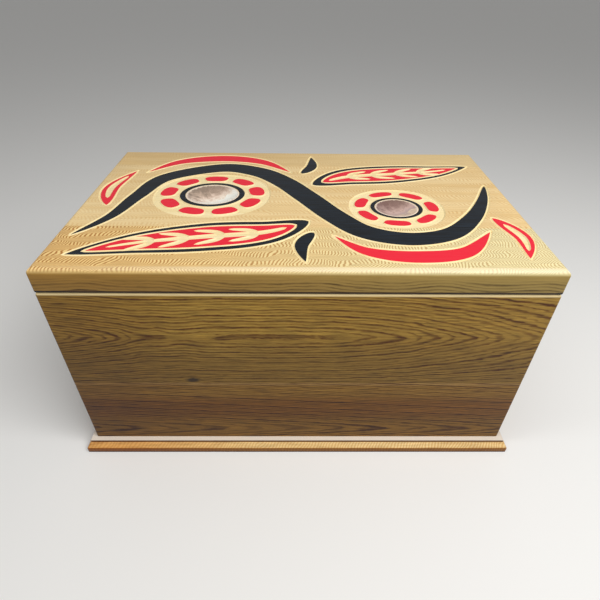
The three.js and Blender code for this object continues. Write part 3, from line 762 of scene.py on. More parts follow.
def make_figure_group():
    """Growth rings of a flat-sawn board, right through its thickness. Place is in millimetres: the
    grain along X, across the board from its heart line along Y, and out of its face along Z.
    Reach is how far the rings have moved out at a place along the board, so where it grows, they
    end in flames that point along the grain. It moves those far from the heart less. Bluntness
    rounds the tips of the flames, and taper, roll and wave tilt and shake the rings.

    Real rings are 1 to 3 mm wide and real fibres a few hundredths. Those are too fine to show from
    where the chest is seen whole, so the rings are drawn 6 to 9 mm wide with two lines each, and
    the fibres as streaks of 3 mm."""
    tree = bpy.data.node_groups.new("cedar_figure", "ShaderNodeTree")
    tree.interface.new_socket("Place", in_out="INPUT", socket_type="NodeSocketVector")
    for label in FIGURE_SIZES:
        tree.interface.new_socket(label, in_out="INPUT", socket_type="NodeSocketFloat")
    for label in ("Late Wood", "Fibre", "Band"):
        tree.interface.new_socket(label, in_out="OUTPUT", socket_type="NodeSocketFloat")
    given = tree.nodes.new("NodeGroupInput").outputs
    seed = add(tree, "ShaderNodeCombineXYZ", {axis: given["Seed"] for axis in "XYZ"})
    place = add(tree, "ShaderNodeSeparateXYZ", {"Vector": given["Place"]}).outputs

    def patches(along, across, detail, roughness=0.5):
        return noise_along(tree, given["Place"], along, across, detail, roughness, seed)

    # Distance from the heart of the tree, which lies as deep below the face as the bluntness says
    below = add(tree, "ShaderNodeMath", {0: given["Bluntness"], 1: place["Z"]}, operation="ADD")
    aside = add(tree, "ShaderNodeMath", {0: place["Y"], 1: place["Y"]}, operation="MULTIPLY")
    squared = add(tree, "ShaderNodeMath", {0: below, 1: below, 2: aside}, operation="MULTIPLY_ADD")
    distance = add(tree, "ShaderNodeMath", {0: squared}, operation="SQRT")

    # The reach moves the rings, those far from the heart line less, and then the rest shakes them
    off_heart = add(tree, "ShaderNodeMath", {0: place["Y"]}, operation="ABSOLUTE")
    held = add(tree, "ShaderNodeMapRange",
               {"Value": off_heart, "From Max": 95.0, "To Min": 1.0, "To Max": 0.40},
               interpolation_type="SMOOTHSTEP")
    moved = add(tree, "ShaderNodeMath", {0: given["Reach"], 1: held, 2: distance}, operation="MULTIPLY_ADD")
    tapered = add(tree, "ShaderNodeMath", {0: place["X"], 1: given["Taper"], 2: moved},
                  operation="MULTIPLY_ADD")
    rolled = add(tree, "ShaderNodeMath", {0: patches(170, 400, 1.0), 1: given["Roll"], 2: tapered},
                 operation="MULTIPLY_ADD")
    waved = add(tree, "ShaderNodeMath", {0: patches(42, 9, 3.0, 0.6), 1: given["Wave"], 2: rolled},
                operation="MULTIPLY_ADD")
    counted = add(tree, "ShaderNodeMath", {0: waved, 1: given["Ring Width"]}, operation="DIVIDE")
    number = add(tree, "ShaderNodeMath", {0: counted}, operation="FLOOR")
    drawn = add(tree, "ShaderNodeMath", {0: number, 1: given["Seed"]}, operation="ADD")
    chance = add(tree, "ShaderNodeTexWhiteNoise", {"W": drawn}, noise_dimensions="1D")

    # Two lines of late wood in each ring, which are stronger in some years and fade here and there
    share = add(tree, "ShaderNodeMath", {0: counted}, operation="FRACT")
    line = add(tree, "ShaderNodeValToRGB", {"Fac": share}, stops=(
        (0.0, 0.25), (0.08, 0.0), (0.24, 0.0), (0.33, 0.62), (0.39, 0.78), (0.45, 0.06),
        (0.66, 0.04), (0.79, 0.80), (0.88, 1.0), (0.95, 0.90), (1.0, 0.25)))
    year = add(tree, "ShaderNodeMapRange", {"Value": chance, "To Min": 0.45, "To Max": 1.0})
    broken = add(tree, "ShaderNodeMapRange",
                 {"Value": patches(38, 4, 3.0, 0.6), "From Min": -0.20, "From Max": 0.12,
                  "To Min": 0.30, "To Max": 1.0})
    strength = add(tree, "ShaderNodeMath", {0: year, 1: broken}, operation="MULTIPLY")
    late = add(tree, "ShaderNodeMath", {0: line, 1: strength}, operation="MULTIPLY")
    band = add(tree, "ShaderNodeMapRange",
               {"Value": patches(420, 24, 2.0), "From Min": -0.16, "From Max": 0.20, "To Max": 1.0})
    add(tree, "NodeGroupOutput", {"Late Wood": late, "Fibre": patches(46, 2.8, 3.0, 0.70), "Band": band})
    return tree


FIGURE = make_figure_group()

# How a board is turned: lying or upright, with its grain along one of the model's axes
ALONG_X = (0.0, 0.0, 0.0)
ALONG_Y = (0.0, 0.0, math.radians(90))
ALONG_Z = (0.0, math.radians(-90), 0.0)
UPRIGHT_ALONG_X = (math.radians(90), 0.0, 0.0)
UPRIGHT_ALONG_Y = (math.radians(90), 0.0, math.radians(90))


def place_in(tree, heart=(0.0, 0.0, 0.0), turn=ALONG_X):
    """Place in millimetres: in the model, or from a board's heart line with its grain on X."""
    point = add(tree, "ShaderNodeTexCoord").outputs["Object"]
    return add(tree, "ShaderNodeMapping",
               {"Vector": point, "Location": [size * MM for size in heart], "Rotation": turn,
                "Scale": (MM, MM, MM)}, vector_type="TEXTURE")


def overlaid(tree, colour, model, glazes):
    """The colour with others laid over it: where the wood is paler or deeper in tone, and where shade,
    shadow or highlights are painted on it. An overlay is (axis, colour, place where it starts, place where
    it is full, most, kind of blend), and more of (axis, start, full) where it is bounded along other axes
    too."""
    axes = add(tree, "ShaderNodeSeparateXYZ", {"Vector": model}).outputs
    for axis, tone, start, full, most, kind, *bounds in glazes:
        amount = most
        for bound_axis, first, last in ((axis, start, full), *bounds):
            amount = add(tree, "ShaderNodeMapRange",
                         {"Value": axes[bound_axis], "From Min": first, "From Max": last, "To Max": amount},
                         interpolation_type="SMOOTHSTEP")
        colour = add(tree, "ShaderNodeMix", {0: amount, 6: colour, 7: linear(tone)},
                     data_type="RGBA", blend_type=kind).outputs[2]
    return colour


def wood_colour(tree, figure, wood, model, glazes, lines=None):
    """Early wood with broader bands of a second tone, late wood as darker lines, and fine fibres."""
    early = add(tree, "ShaderNodeMix",
                {0: figure["Band"], 6: linear(wood["early"]), 7: linear(wood["band"])}, data_type="RGBA")
    early = overlaid(tree, early.outputs[2], model, glazes)
    strength = add(tree, "ShaderNodeMath", {0: figure["Late Wood"], 1: lines or wood["lines"]},
                   operation="MULTIPLY")
    lined = add(tree, "ShaderNodeMix", {0: strength, 6: early, 7: linear(wood["late"])},
                data_type="RGBA", blend_type="MULTIPLY")
    shade = add(tree, "ShaderNodeMath", {0: figure["Fibre"], 1: wood["fibre"], 2: 1.0},
                operation="MULTIPLY_ADD")
    return add(tree, "ShaderNodeVectorMath", {0: lined.outputs[2], "Scale": shade}, operation="SCALE")


# Finishes: roughness of the early wood, and weight of the varnish as a clear coat
SATIN = (0.40, 0.10)
PAINTED = (0.38, 0.10)
CUT = (0.50, 0.0)
PLANED = (0.60, 0.0)


def finish_wood(material, tree, colour, figure, finish):
    """The late wood stands a hair lower and shines a little less than the rest."""
    roughness, coat = finish
    rough = add(tree, "ShaderNodeMapRange",
                {"Value": figure["Late Wood"], "To Min": roughness, "To Max": roughness + 0.12})
    grain = add(tree, "ShaderNodeMath", {0: figure["Late Wood"], 1: -0.5, 2: figure["Fibre"]},
                operation="MULTIPLY_ADD")
    bump = add(tree, "ShaderNodeBump", {"Height": grain, "Strength": 0.16, "Distance": 0.0005})
    shader = add(tree, "ShaderNodeBsdfPrincipled", {
        "Base Color": colour, "Roughness": rough, "Normal": bump,
        "IOR": 1.45, "Specular IOR Level": 0.3, "Coat Weight": coat, "Coat Roughness": 0.22,
    })
    add(tree, "ShaderNodeOutputMaterial", {"Surface": shader})
    return material


def new_material(name):
    """An empty material and its node tree."""
    material = bpy.data.materials.new(name)
    material.use_nodes = True
    material.node_tree.nodes.clear()
    return material, material.node_tree


def varnished_cedar(name, heart, turn, board, wood, glazes=(), finish=SATIN):
    """Cedar, sawn, planed and varnished: warm early wood with thin dark late-wood lines under a
    clear satin film, so the lines stay sharp and the surface has a soft shine."""
    material, tree = new_material(name)
    model, place = place_in(tree), place_in(tree, heart, turn)
    figure = add(tree, "ShaderNodeGroup", {"Place": place, **board}, node_tree=FIGURE).outputs
    colour = wood_colour(tree, figure, wood, model, glazes)
    colour = overlaid(tree, colour, model, wood.get("worn", ()))
    return finish_wood(material, tree, colour, figure, finish)


def flamed_cedar(name, heart, turn, board, wood, glazes):
    """The front's upper board: its figure is drawn after the real one. The rings run out in flames
    at both ends with a long lens between them, and bend round one small dark knot."""
    material, tree = new_material(name)
    model, place = place_in(tree), place_in(tree, heart, turn)
    x = add(tree, "ShaderNodeSeparateXYZ", {"Vector": model}).outputs["X"]

    # Distance from the knot, in multiples of its half sizes, and how far the rings bend round it
    from_knot = add(tree, "ShaderNodeVectorMath", {0: model, 1: KNOT_PLACE}, operation="SUBTRACT")
    scaled = add(tree, "ShaderNodeVectorMath",
                 {0: from_knot, 1: tuple(1 / size for size in KNOT_SIZE)}, operation="MULTIPLY")
    ring_of_knot = add(tree, "ShaderNodeVectorMath", {0: scaled}, operation="LENGTH").outputs["Value"]
    bend = add(tree, "ShaderNodeMapRange",
               {"Value": ring_of_knot, "From Min": 3.6, "From Max": 0.4, "To Max": 7.0},
               interpolation_type="SMOOTHSTEP")
    reach = add(tree, "ShaderNodeMath", {0: along_length(tree, x, FLAME_REACH), 1: bend}, operation="ADD")
    blunt = along_length(tree, x, FLAME_BLUNTNESS)
    figure = add(tree, "ShaderNodeGroup", {"Place": place, "Reach": reach, "Bluntness": blunt, **board},
                 node_tree=FIGURE).outputs
    colour = wood_colour(tree, figure, wood, model, glazes)

    # The knot itself has a ragged edge
    rough_edge = noise_along(tree, model, 9, 3, 2.0)
    dark = add(tree, "ShaderNodeMath", {0: rough_edge, 1: 1.1, 2: ring_of_knot}, operation="MULTIPLY_ADD")
    amount = add(tree, "ShaderNodeMapRange",
                 {"Value": dark, "From Min": 1.5, "From Max": 0.5, "To Max": 0.92},
                 interpolation_type="SMOOTHSTEP")
    colour = add(tree, "ShaderNodeMix", {0: amount, 6: colour, 7: linear(KNOT_TONE)}, data_type="RGBA")
    colour = overlaid(tree, colour.outputs[2], model, wood["worn"])
    return finish_wood(material, tree, colour, figure, SATIN)


def rippled_cedar(name, heart, board, wood, glazes, ripple):
    """Quarter-sawn cedar with curly grain: fine cross ripples fan out from a place beyond one end,
    in a zigzag where the fibres change sides, and catch the light in turns."""
    material, tree = new_material(name)
    model, place = place_in(tree), place_in(tree, heart)
    figure = add(tree, "ShaderNodeGroup", {"Place": place, **board}, node_tree=FIGURE).outputs
    z = add(tree, "ShaderNodeSeparateXYZ", {"Vector": model}).outputs["Z"]
    lines = add(tree, "ShaderNodeMapRange", {
        "Value": z, "From Min": EDGE_STARTS, "From Max": EDGE_FULL, "To Min": wood["lines"],
        "To Max": wood["edge_lines"]})
    colour = wood_colour(tree, figure, wood, model, glazes, lines)
    amount = ripples_in(tree, model, ripple)
    colour = add(tree, "ShaderNodeMix", {0: amount, 6: colour, 7: linear(ripple["tone"])},
                 data_type="RGBA", blend_type="MULTIPLY")
    colour = overlaid(tree, colour.outputs[2], model, wood.get("worn", ()))
    return finish_wood(material, tree, colour, figure, SATIN)


def ripples_in(tree, model, ripple):
    """Strength of the cross ripples, which fades along the board. Curly cedar has one every 4 to
    5 mm."""
    from_fan = add(tree, "ShaderNodeVectorMath", {0: model, 1: ripple["fan"]}, operation="SUBTRACT")
    flattened = add(tree, "ShaderNodeVectorMath", {0: from_fan, 1: (1.0, 1.6, 0.0)}, operation="MULTIPLY")
    far = add(tree, "ShaderNodeVectorMath", {0: flattened}, operation="LENGTH").outputs["Value"]
    axes = add(tree, "ShaderNodeSeparateXYZ", {"Vector": model}).outputs
    shaken = add(tree, "ShaderNodeMath", {0: noise_along(tree, model, 80, 60, 2.0), 1: 4.0},
                 operation="MULTIPLY")
    across = add(tree, "ShaderNodeMath", {0: axes["Y"], 1: 1 / ripple["zigzag"], 2: shaken},
                 operation="MULTIPLY_ADD")
    zigzag = add(tree, "ShaderNodeMath", {0: across, 1: 1.0}, operation="PINGPONG")
    bent = add(tree, "ShaderNodeMath", {0: zigzag, 1: ripple["depth"], 2: far}, operation="MULTIPLY_ADD")
    loose = add(tree, "ShaderNodeMath",
                {0: noise_along(tree, model, 120, 26, 2.0), 1: ripple["loose"], 2: bent},
                operation="MULTIPLY_ADD")
    turns = add(tree, "ShaderNodeMath", {0: loose, 1: 2 * math.pi / ripple["spacing"]},
                operation="MULTIPLY")
    wave = add(tree, "ShaderNodeMath", {0: turns}, operation="SINE")
    crest = add(tree, "ShaderNodeMapRange",
                {"Value": wave, "From Min": -0.4, "From Max": 0.8, "To Max": 1.0})
    fade = add(tree, "ShaderNodeMapRange",
               {"Value": axes["X"], "From Min": LID_LOW.x, "From Max": LID_HIGH.x,
                "To Min": ripple["left"], "To Max": ripple["right"]})
    start, full = ripple["shown"]
    shown = add(tree, "ShaderNodeMapRange", {"Value": axes["Z"], "From Min": start, "From Max": full})
    amount = add(tree, "ShaderNodeMath", {0: crest, 1: fade}, operation="MULTIPLY")
    return add(tree, "ShaderNodeMath", {0: amount, 1: shown}, operation="MULTIPLY")


def painted_cedar(name, heart, board, colour, worn, wear):
    """Acrylic paint brushed on cedar, then varnished: an even colour in which the grain below shows
    as faint streaks, a little paler where the brush left it thin."""
    material, tree = new_material(name)
    place = place_in(tree, heart)
    figure = add(tree, "ShaderNodeGroup", {"Place": place, **board}, node_tree=FIGURE).outputs
    streak = noise_along(tree, place, 60, 3.4, 3.0, 0.6)
    thin = add(tree, "ShaderNodeMapRange",
               {"Value": streak, "From Min": -0.08, "From Max": 0.22, "To Max": wear})
    paint = add(tree, "ShaderNodeMix", {0: thin, 6: linear(colour), 7: linear(worn)}, data_type="RGBA")
    return finish_wood(material, tree, paint.outputs[2], figure, PAINTED)


def nacre(name, shell, painted_shade_tone, painted_highlight_side, stops):
    """Inside of a sea shell, ground and polished: mauve-brown to silver layers in wavy growth bands that
    swirl round the hollow, under a glassy surface. A painted highlight brightens it towards one side, and
    painted shade deepens the back of the dish."""
    material, tree = new_material(name)
    place = place_in(tree, (*shell["centre"], LID_TOP))
    scaled = add(tree, "ShaderNodeVectorMath",
                 {0: place, 1: (1 / shell["half"][0], 1 / shell["half"][1], 0.0)}, operation="MULTIPLY")
    # Painted highlight: the colour grows brighter towards one side of the dish
    toward_painted_highlight = add(tree, "ShaderNodeVectorMath", {0: scaled, 1: (*painted_highlight_side, 0.0)}, operation="DOT_PRODUCT")
    swirl = add(tree, "ShaderNodeTexNoise", {
        "Vector": scaled, "Scale": 2.4, "Detail": 8.0, "Roughness": 0.72, "Distortion": 1.3})
    mixed = add(tree, "ShaderNodeMath", {0: toward_painted_highlight.outputs["Value"], 1: 0.50, 2: swirl},
                operation="MULTIPLY_ADD")
    layers_and_painted_highlight = add(tree, "ShaderNodeValToRGB", {"Fac": mixed},
                  stops=[(position, linear(tone)) for position, tone in stops])
    # Painted shade: the back of the dish is darker
    toward_painted_shade = add(tree, "ShaderNodeSeparateXYZ", {"Vector": scaled}).outputs["Y"]
    shade = add(tree, "ShaderNodeMapRange",
                {"Value": toward_painted_shade, "From Min": 0.30, "From Max": 1.00, "To Max": 0.7},
                interpolation_type="SMOOTHSTEP")
    deep = add(tree, "ShaderNodeMix", {0: shade, 6: layers_and_painted_highlight, 7: linear(painted_shade_tone)}, data_type="RGBA")
    rim = add(tree, "ShaderNodeVectorMath", {0: scaled}, operation="LENGTH").outputs["Value"]
    chipped = noise_along(tree, place, 4, 4, 2.0)
    lip = add(tree, "ShaderNodeMath", {0: chipped, 1: 0.10, 2: rim}, operation="MULTIPLY_ADD")
    pale = add(tree, "ShaderNodeMapRange",
               {"Value": lip, "From Min": 0.91, "From Max": 0.96, "To Max": 0.90})
    colour = add(tree, "ShaderNodeMix", {0: pale, 6: deep.outputs[2], 7: linear("#F6E2CC")},
                 data_type="RGBA")
    layers = add(tree, "ShaderNodeTexNoise",
                 {"Vector": scaled, "Scale": 6.0, "Detail": 4.0, "Distortion": 2.5})
    bump = add(tree, "ShaderNodeBump", {"Height": layers, "Strength": 0.22, "Distance": 0.0010})
    shader = add(tree, "ShaderNodeBsdfPrincipled", {
        "Base Color": colour.outputs[2], "Roughness": 0.28, "Normal": bump,
        "IOR": 1.53, "Coat Weight": 0.4, "Coat Roughness": 0.10,
    })
    add(tree, "ShaderNodeOutputMaterial", {"Surface": shader})
    return material


def plain_floor():
    """Pale matt paper where it is seen, or mirrored in a gloss. It throws back less light than it
    shows, so the walls keep their depth of tone."""
    material, tree = new_material("pale_backdrop_paper")
    ray = add(tree, "ShaderNodeLightPath").outputs
    seen = add(tree, "ShaderNodeMath", {0: ray["Is Camera Ray"], 1: ray["Is Glossy Ray"]}, operation="ADD")
    shown = add(tree, "ShaderNodeMath", {0: seen, 1: ray["Is Transmission Ray"]}, operation="ADD",
                use_clamp=True)
    colour = add(tree, "ShaderNodeMix", {0: shown, 6: linear("#77787A"), 7: linear("#F4F3F0")},
                 data_type="RGBA")
    shader = add(tree, "ShaderNodeBsdfPrincipled", {"Base Color": colour.outputs[2], "Roughness": 0.9})
    add(tree, "ShaderNodeOutputMaterial", {"Surface": shader})
    return material


def zinc_plate():
    """Bright zinc plate on steel: pale grey metal, faintly clouded in patches of 1 to 2 mm."""
    material, tree = new_material("zinc_plated_steel")
    place = add(tree, "ShaderNodeTexCoord").outputs["Object"]
    cloud = add(tree, "ShaderNodeTexNoise", {"Vector": place, "Scale": 700.0, "Detail": 3.0})
    colour = add(tree, "ShaderNodeValToRGB", {"Fac": cloud},
                 stops=((0.35, linear("#A9ABAA")), (0.65, linear("#C8C9C6"))))
    rough = add(tree, "ShaderNodeMapRange", {"Value": cloud, "To Min": 0.24, "To Max": 0.42})
    shader = add(tree, "ShaderNodeBsdfPrincipled",
                 {"Base Color": colour, "Metallic": 1.0, "Roughness": rough})
    add(tree, "ShaderNodeOutputMaterial", {"Surface": shader})
    return material


# Woods: two tones of early wood, what late wood does to them, and strength of lines and fibres

EDGE_STARTS = LID_TOP - 13.0  # height below which the lines of a lid's edge come up
EDGE_FULL = LID_TOP - 21.0
# Painted highlight along the rounded top edge of the upper walls
PAINTED_HIGHLIGHT_WALL_ARRIS = ("Z", "#F6DEA6", WALL_TOP - 5.0, WALL_TOP - 2.4, 0.85, "MIX")
# Paler along the top of the base's ledge
PALE_LEDGE_TOP = ("Z", "#FCF0E0", BASE_TOP - 0.4, BASE_TOP - 0.1, 0.80, "MIX")
# Painted highlight along the top of the lid's front edge, strongest towards the right
PAINTED_HIGHLIGHT_LID_ARRIS = ("Y", "#FFF0CC", LID_LOW.y + 12.5, LID_LOW.y + 8.5, 0.50, "MIX",
                  ("Z", LID_TOP - 3.5, LID_TOP - 1.0), ("X", -480.0, 60.0))
UPPER_WALL = {"early": "#BE9642", "band": "#AE8638", "late": "#80582C", "lines": 1.4, "fibre": 2.20,
              "worn": [PAINTED_HIGHLIGHT_WALL_ARRIS]}
LOWER_WALL = {"early": "#A27832", "band": "#926A2C", "late": "#724A28", "lines": 1.6, "fibre": 2.20}
BASE_WOOD = {"early": "#FFDC9C", "band": "#F8CE86", "late": "#B08C60", "lines": 0.6, "edge_lines": 0.5,
             "fibre": 0.90, "worn": [PALE_LEDGE_TOP]}
RIM_WOOD = {"early": "#D0AA72", "band": "#C4955A", "late": "#C0A47C", "lines": 0.6, "fibre": 0.35}
SPLINE_WOOD = {"early": "#DCC79C", "band": "#D2B988", "late": "#DCC8A0", "lines": 0.4, "fibre": 0.20}
LID_FRONT = {"early": "#F6D48E", "band": "#F0CA82", "late": "#402806", "lines": 0.04, "edge_lines": 1.0,
             "fibre": 0.60, "worn": [PAINTED_HIGHLIGHT_LID_ARRIS]}
LID_MIDDLE = {"early": "#F2D8A2", "band": "#E8C88C", "late": "#846C3C", "lines": 0.14, "edge_lines": 1.0,
              "fibre": 0.40}
LID_BACK = {"early": "#E2C48C", "band": "#D8B67A", "late": "#846C3C", "lines": 0.14, "edge_lines": 1.0,
            "fibre": 0.40}
CUT_WOOD = {"early": "#F8E6B6", "band": "#F2DCA4", "late": "#E2CFA2", "lines": 0.40, "fibre": 0.20}

# Figure of the front's upper board along its heart line: (x, rings come to the surface, bluntness)
WALL_RING = 8.0
LINE_PLACE = 0.88  # share of a ring's width at which its strong line lies
FLAME_HEART = 279.0
FLAMES = [(-380, 1.0, 11), (-327, 2.0, 11), (-278, 3.0, 11), (-240, 3.97, 13), (-212, 4.05, 15),
          (-190, 4.35, 17), (-145, 4.10, 19), (-100, 4.05, 19), (0, 4.05, 19), (50, 4.10, 18),
          (159, 5.0, 14), (215, 6.0, 11), (270, 7.0, 11), (317, 8.0, 11), (380, 9.2, 11)]
FLAME_REACH = [(x, WALL_RING * (number + LINE_PLACE) - blunt) for x, number, blunt in FLAMES]
FLAME_BLUNTNESS = [(x, blunt) for x, _, blunt in FLAMES]
KNOT_PLACE = (-178.0, FRONT_FACE, 182.0)
KNOT_SIZE = (11.0, 30.0, 5.0)  # half sizes
KNOT_TONE = "#24140A"

# Tones of the walls: the upper boards deepen downwards, and the lower ones further down, partly as the
# wood's own tone and partly as painted shade where less light reaches. The lower ones also have a red-brown
# band. All walls carry painted shade towards the left, away from the light.
PAINTED_SHADE_TO_LEFT = ("X", "#E2DACE", -120.0, -340.0, 1.0, "MULTIPLY")
WALL_TONE_AND_SHADE = [("Z", "#D6D4DA", 315.0, 225.0, 1.0, "MULTIPLY"), PAINTED_SHADE_TO_LEFT]
LOW_TONE_AND_SHADE = [("Z", "#DCC4A8", 150.0, 122.0, 1.0, "MULTIPLY"), ("Z", "#906826", 98.0, 66.0, 0.80, "MIX"),
              ("Z", "#B8925A", BOARD_SEAM - 8, BOARD_SEAM - 4, 0.6, "MIX"), PAINTED_SHADE_TO_LEFT]
WALL_FIGURE = {"Roll": 40.0, "Bluntness": 18.0, "Ring Width": 8.5, "Wave": 5.0}


def dress(node, material):
    """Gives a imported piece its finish."""
    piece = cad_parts[node]
    for holder in piece.material_slots:
        holder.material = material


flamed = flamed_cedar("cedar_front_upper_board", (0.0, FRONT_FACE, FLAME_HEART), UPRIGHT_ALONG_X,
                      {"Ring Width": WALL_RING, "Wave": 5.0, "Seed": 3.0}, UPPER_WALL, WALL_TONE_AND_SHADE)
dress("front_upper_board", flamed)
WALLS = (
    ("front_lower_board", (0.0, FRONT_FACE, 51.0), UPRIGHT_ALONG_X, LOWER_WALL, LOW_TONE_AND_SHADE,
     {"Taper": 0.06, "Reach": 1.8, "Roll": 0.0, "Bluntness": 15.0, "Ring Width": 9.0, "Seed": 11.0}),
    ("back_upper_board", (0.0, BACK_FACE, 262.0), UPRIGHT_ALONG_X, UPPER_WALL, WALL_TONE_AND_SHADE,
     {"Taper": -0.05, "Seed": 21.0}),
    ("back_lower_board", (0.0, BACK_FACE, 96.0), UPRIGHT_ALONG_X, LOWER_WALL, LOW_TONE_AND_SHADE,
     {"Taper": 0.04, "Seed": 25.0}),
    ("left_upper_board", (LEFT_FACE, 0.0, 281.0), UPRIGHT_ALONG_Y, UPPER_WALL, WALL_TONE_AND_SHADE,
     {"Taper": 0.06, "Seed": 31.0}),
    ("left_lower_board", (LEFT_FACE, 0.0, 84.0), UPRIGHT_ALONG_Y, LOWER_WALL, LOW_TONE_AND_SHADE,
     {"Taper": -0.05, "Seed": 36.0}),
    ("right_upper_board", (RIGHT_FACE, 0.0, 268.0), UPRIGHT_ALONG_Y, UPPER_WALL, WALL_TONE_AND_SHADE,
     {"Taper": -0.06, "Seed": 41.0}),
    ("right_lower_board", (RIGHT_FACE, 0.0, 102.0), UPRIGHT_ALONG_Y, LOWER_WALL, LOW_TONE_AND_SHADE,
     {"Taper": 0.05, "Seed": 46.0}),
)
for node, heart, turn, wood, glazes, changes in WALLS:
    varnished = varnished_cedar(f"cedar_{node}", heart, turn, {**WALL_FIGURE, **changes}, wood, glazes)
    dress(node, varnished)

# The base's ledge is paler along its top. Its step and foot carry painted shade, its bottom edge a painted
# shadow against the floor, and the whole base painted shade towards the left.
BASE_PAINTED_SHADE = [
    ("Z", "#6C4C2A", 20.6, 21.4, 1.0, "MULTIPLY"),
    ("Z", "#A88450", 12.0, 10.8, 1.0, "MULTIPLY"),
    ("Z", "#6A4A28", 4.0, 1.0, 1.0, "MULTIPLY"),
    ("X", "#F8DCC0", -60.0, -340.0, 0.9, "MULTIPLY"),
]
BASE_RIPPLE = {"fan": (-900.0, 100.0, 0.0), "zigzag": 90.0, "depth": 6.0, "loose": 14.0, "spacing": 5.0,
               "tone": "#D8AC68", "left": 0.35, "right": 0.50, "shown": (21.5, 20.5)}
for index, place in enumerate(("front", "middle", "back")):
    node = f"base_{place}_board"
    low, high = box_in_mm(node)
    board = {"Taper": 0.02, "Roll": 30.0, "Bluntness": 40.0, "Ring Width": 8.0, "Wave": 5.0,
             "Seed": 51.0 + 3 * index}
    heart = (0.0, (low.y + high.y) / 2 + 20, BASE_TOP)
    rippled = rippled_cedar(f"cedar_{node}", heart, board, BASE_WOOD, BASE_PAINTED_SHADE, BASE_RIPPLE)
    dress(node, rippled)
RIMS = (("front", ALONG_X), ("back", ALONG_X), ("left", ALONG_Y), ("right", ALONG_Y))
for index, (place, turn) in enumerate(RIMS):
    node = f"lid_rim_{place}"
    low, high = box_in_mm(node)
    board = {"Taper": 0.01, "Roll": 12.0, "Bluntness": 60.0, "Ring Width": 6.0, "Wave": 3.0,
             "Seed": 61.0 + 2 * index}
    planed = varnished_cedar(f"sawn_cedar_{node}", (low + high) / 2, turn, board, RIM_WOOD,
                             finish=PLANED)
    dress(node, planed)
spline_figure = {"Bluntness": 900.0, "Ring Width": 3.0, "Wave": 1.0}
spline_wood = varnished_cedar("birch_spline", (0.0, 0.0, 0.0), ALONG_Z, spline_figure, SPLINE_WOOD,
                              finish=PLANED)
for corner in ("front_left", "front_right", "back_left", "back_right"):
    dress(f"corner_spline_{corner}", spline_wood)

# The lid's sides carry painted shade below their top, and a painted shadow along their lower edge where it
# meets the walls
PAINTED_SHADE_LID_SIDES = ("Z", "#C4AE80", LID_TOP - 2.0, LID_TOP - 8.0, 1.0, "MULTIPLY")
PAINTED_SHADOW_LID_EDGE = ("Z", "#40291A", LID_LOW.z + 5.5, LID_LOW.z + 3.5, 1.0, "MULTIPLY")
PAINTED_SHADOW_LID_EDGES = [
    (*PAINTED_SHADOW_LID_EDGE, (axis, place + 14 * inward, place + 8 * inward))
    for axis, place, inward in (
        ("Y", LID_LOW.y, 1), ("Y", LID_HIGH.y, -1), ("X", LID_LOW.x, 1), ("X", LID_HIGH.x, -1))
]
QUIET_RIPPLE = {"fan": (1300.0, 600.0, 0.0), "zigzag": 14.0, "depth": 9.0, "loose": 17.0, "spacing": 5.2,
                "tone": "#D8B07A", "shown": (LID_TOP - 5.0, LID_TOP - 0.5)}
LID_BOARDS = {
    "lid_front_board": {
        "heart": (0.0, -178.0, LID_TOP), "wood": LID_FRONT, "shells": [], "is_seam": (False, True),
        "figure": {"Taper": 0.03, "Roll": 30.0, "Bluntness": 70.0, "Ring Width": 7.0, "Wave": 4.0,
                   "Seed": 71.0},
        # Painted sheen: the board grows paler towards the right
        "glazes": [("X", "#EFE3AE", -360.0, 330.0, 0.95, "MIX"), PAINTED_SHADE_LID_SIDES, *PAINTED_SHADOW_LID_EDGES],
        "ripple": {"fan": (-1300.0, 300.0, 0.0), "zigzag": 12.0, "depth": 9.5, "loose": 15.0, "spacing": 4.3,
                   "tone": "#B27E3C", "left": 0.90, "right": 0.50, "shown": QUIET_RIPPLE["shown"]},
    },
    "lid_middle_board": {
        "heart": (0.0, 170.0, LID_TOP), "wood": LID_MIDDLE, "shells": [LARGE_SHELL, SMALL_SHELL],
        "is_seam": (True, True),
        "figure": {"Taper": 0.02, "Roll": 24.0, "Bluntness": 60.0, "Ring Width": 8.0, "Wave": 3.0,
                   "Seed": 77.0},
        "glazes": [PAINTED_SHADE_LID_SIDES, *PAINTED_SHADOW_LID_EDGES],
        "ripple": {**QUIET_RIPPLE, "left": 0.22, "right": 0.45},
    },
    "lid_back_board": {
        "heart": (0.0, 120.0, LID_TOP), "wood": LID_BACK, "shells": [], "is_seam": (True, False),
        "figure": {"Taper": 0.02, "Roll": 20.0, "Bluntness": 60.0, "Ring Width": 8.0, "Wave": 3.0,
                   "Seed": 81.0},
        # Painted light: the board grows paler towards the right
        "glazes": [("X", "#E8CE98", -200.0, 300.0, 0.7, "MIX"), PAINTED_SHADE_LID_SIDES, *PAINTED_SHADOW_LID_EDGES],
        "ripple": {**QUIET_RIPPLE, "left": 0.15, "right": 0.20},
    },
}


def lid_finishes(node, board):
    """Wood, red, black and freshly cut wood of one lid board, all with that board's figure."""
    heart, figure = board["heart"], board["figure"]
    return [
        rippled_cedar(f"cedar_{node}", heart, figure, board["wood"], board["glazes"], board["ripple"]),
        painted_cedar(f"red_paint_{node}", heart, figure, "#EA2036", "#EE4450", 0.25),
        painted_cedar(f"black_paint_{node}", heart, figure, "#0F1317", "#1D2A38", 0.80),
        varnished_cedar(f"cut_cedar_{node}", heart, ALONG_X, figure, CUT_WOOD, finish=CUT),
    ]


SHAPES = ornament()
for node, board in LID_BOARDS.items():
    lid_board(node, board["is_seam"], SHAPES, board["shells"], lid_finishes(node, board))

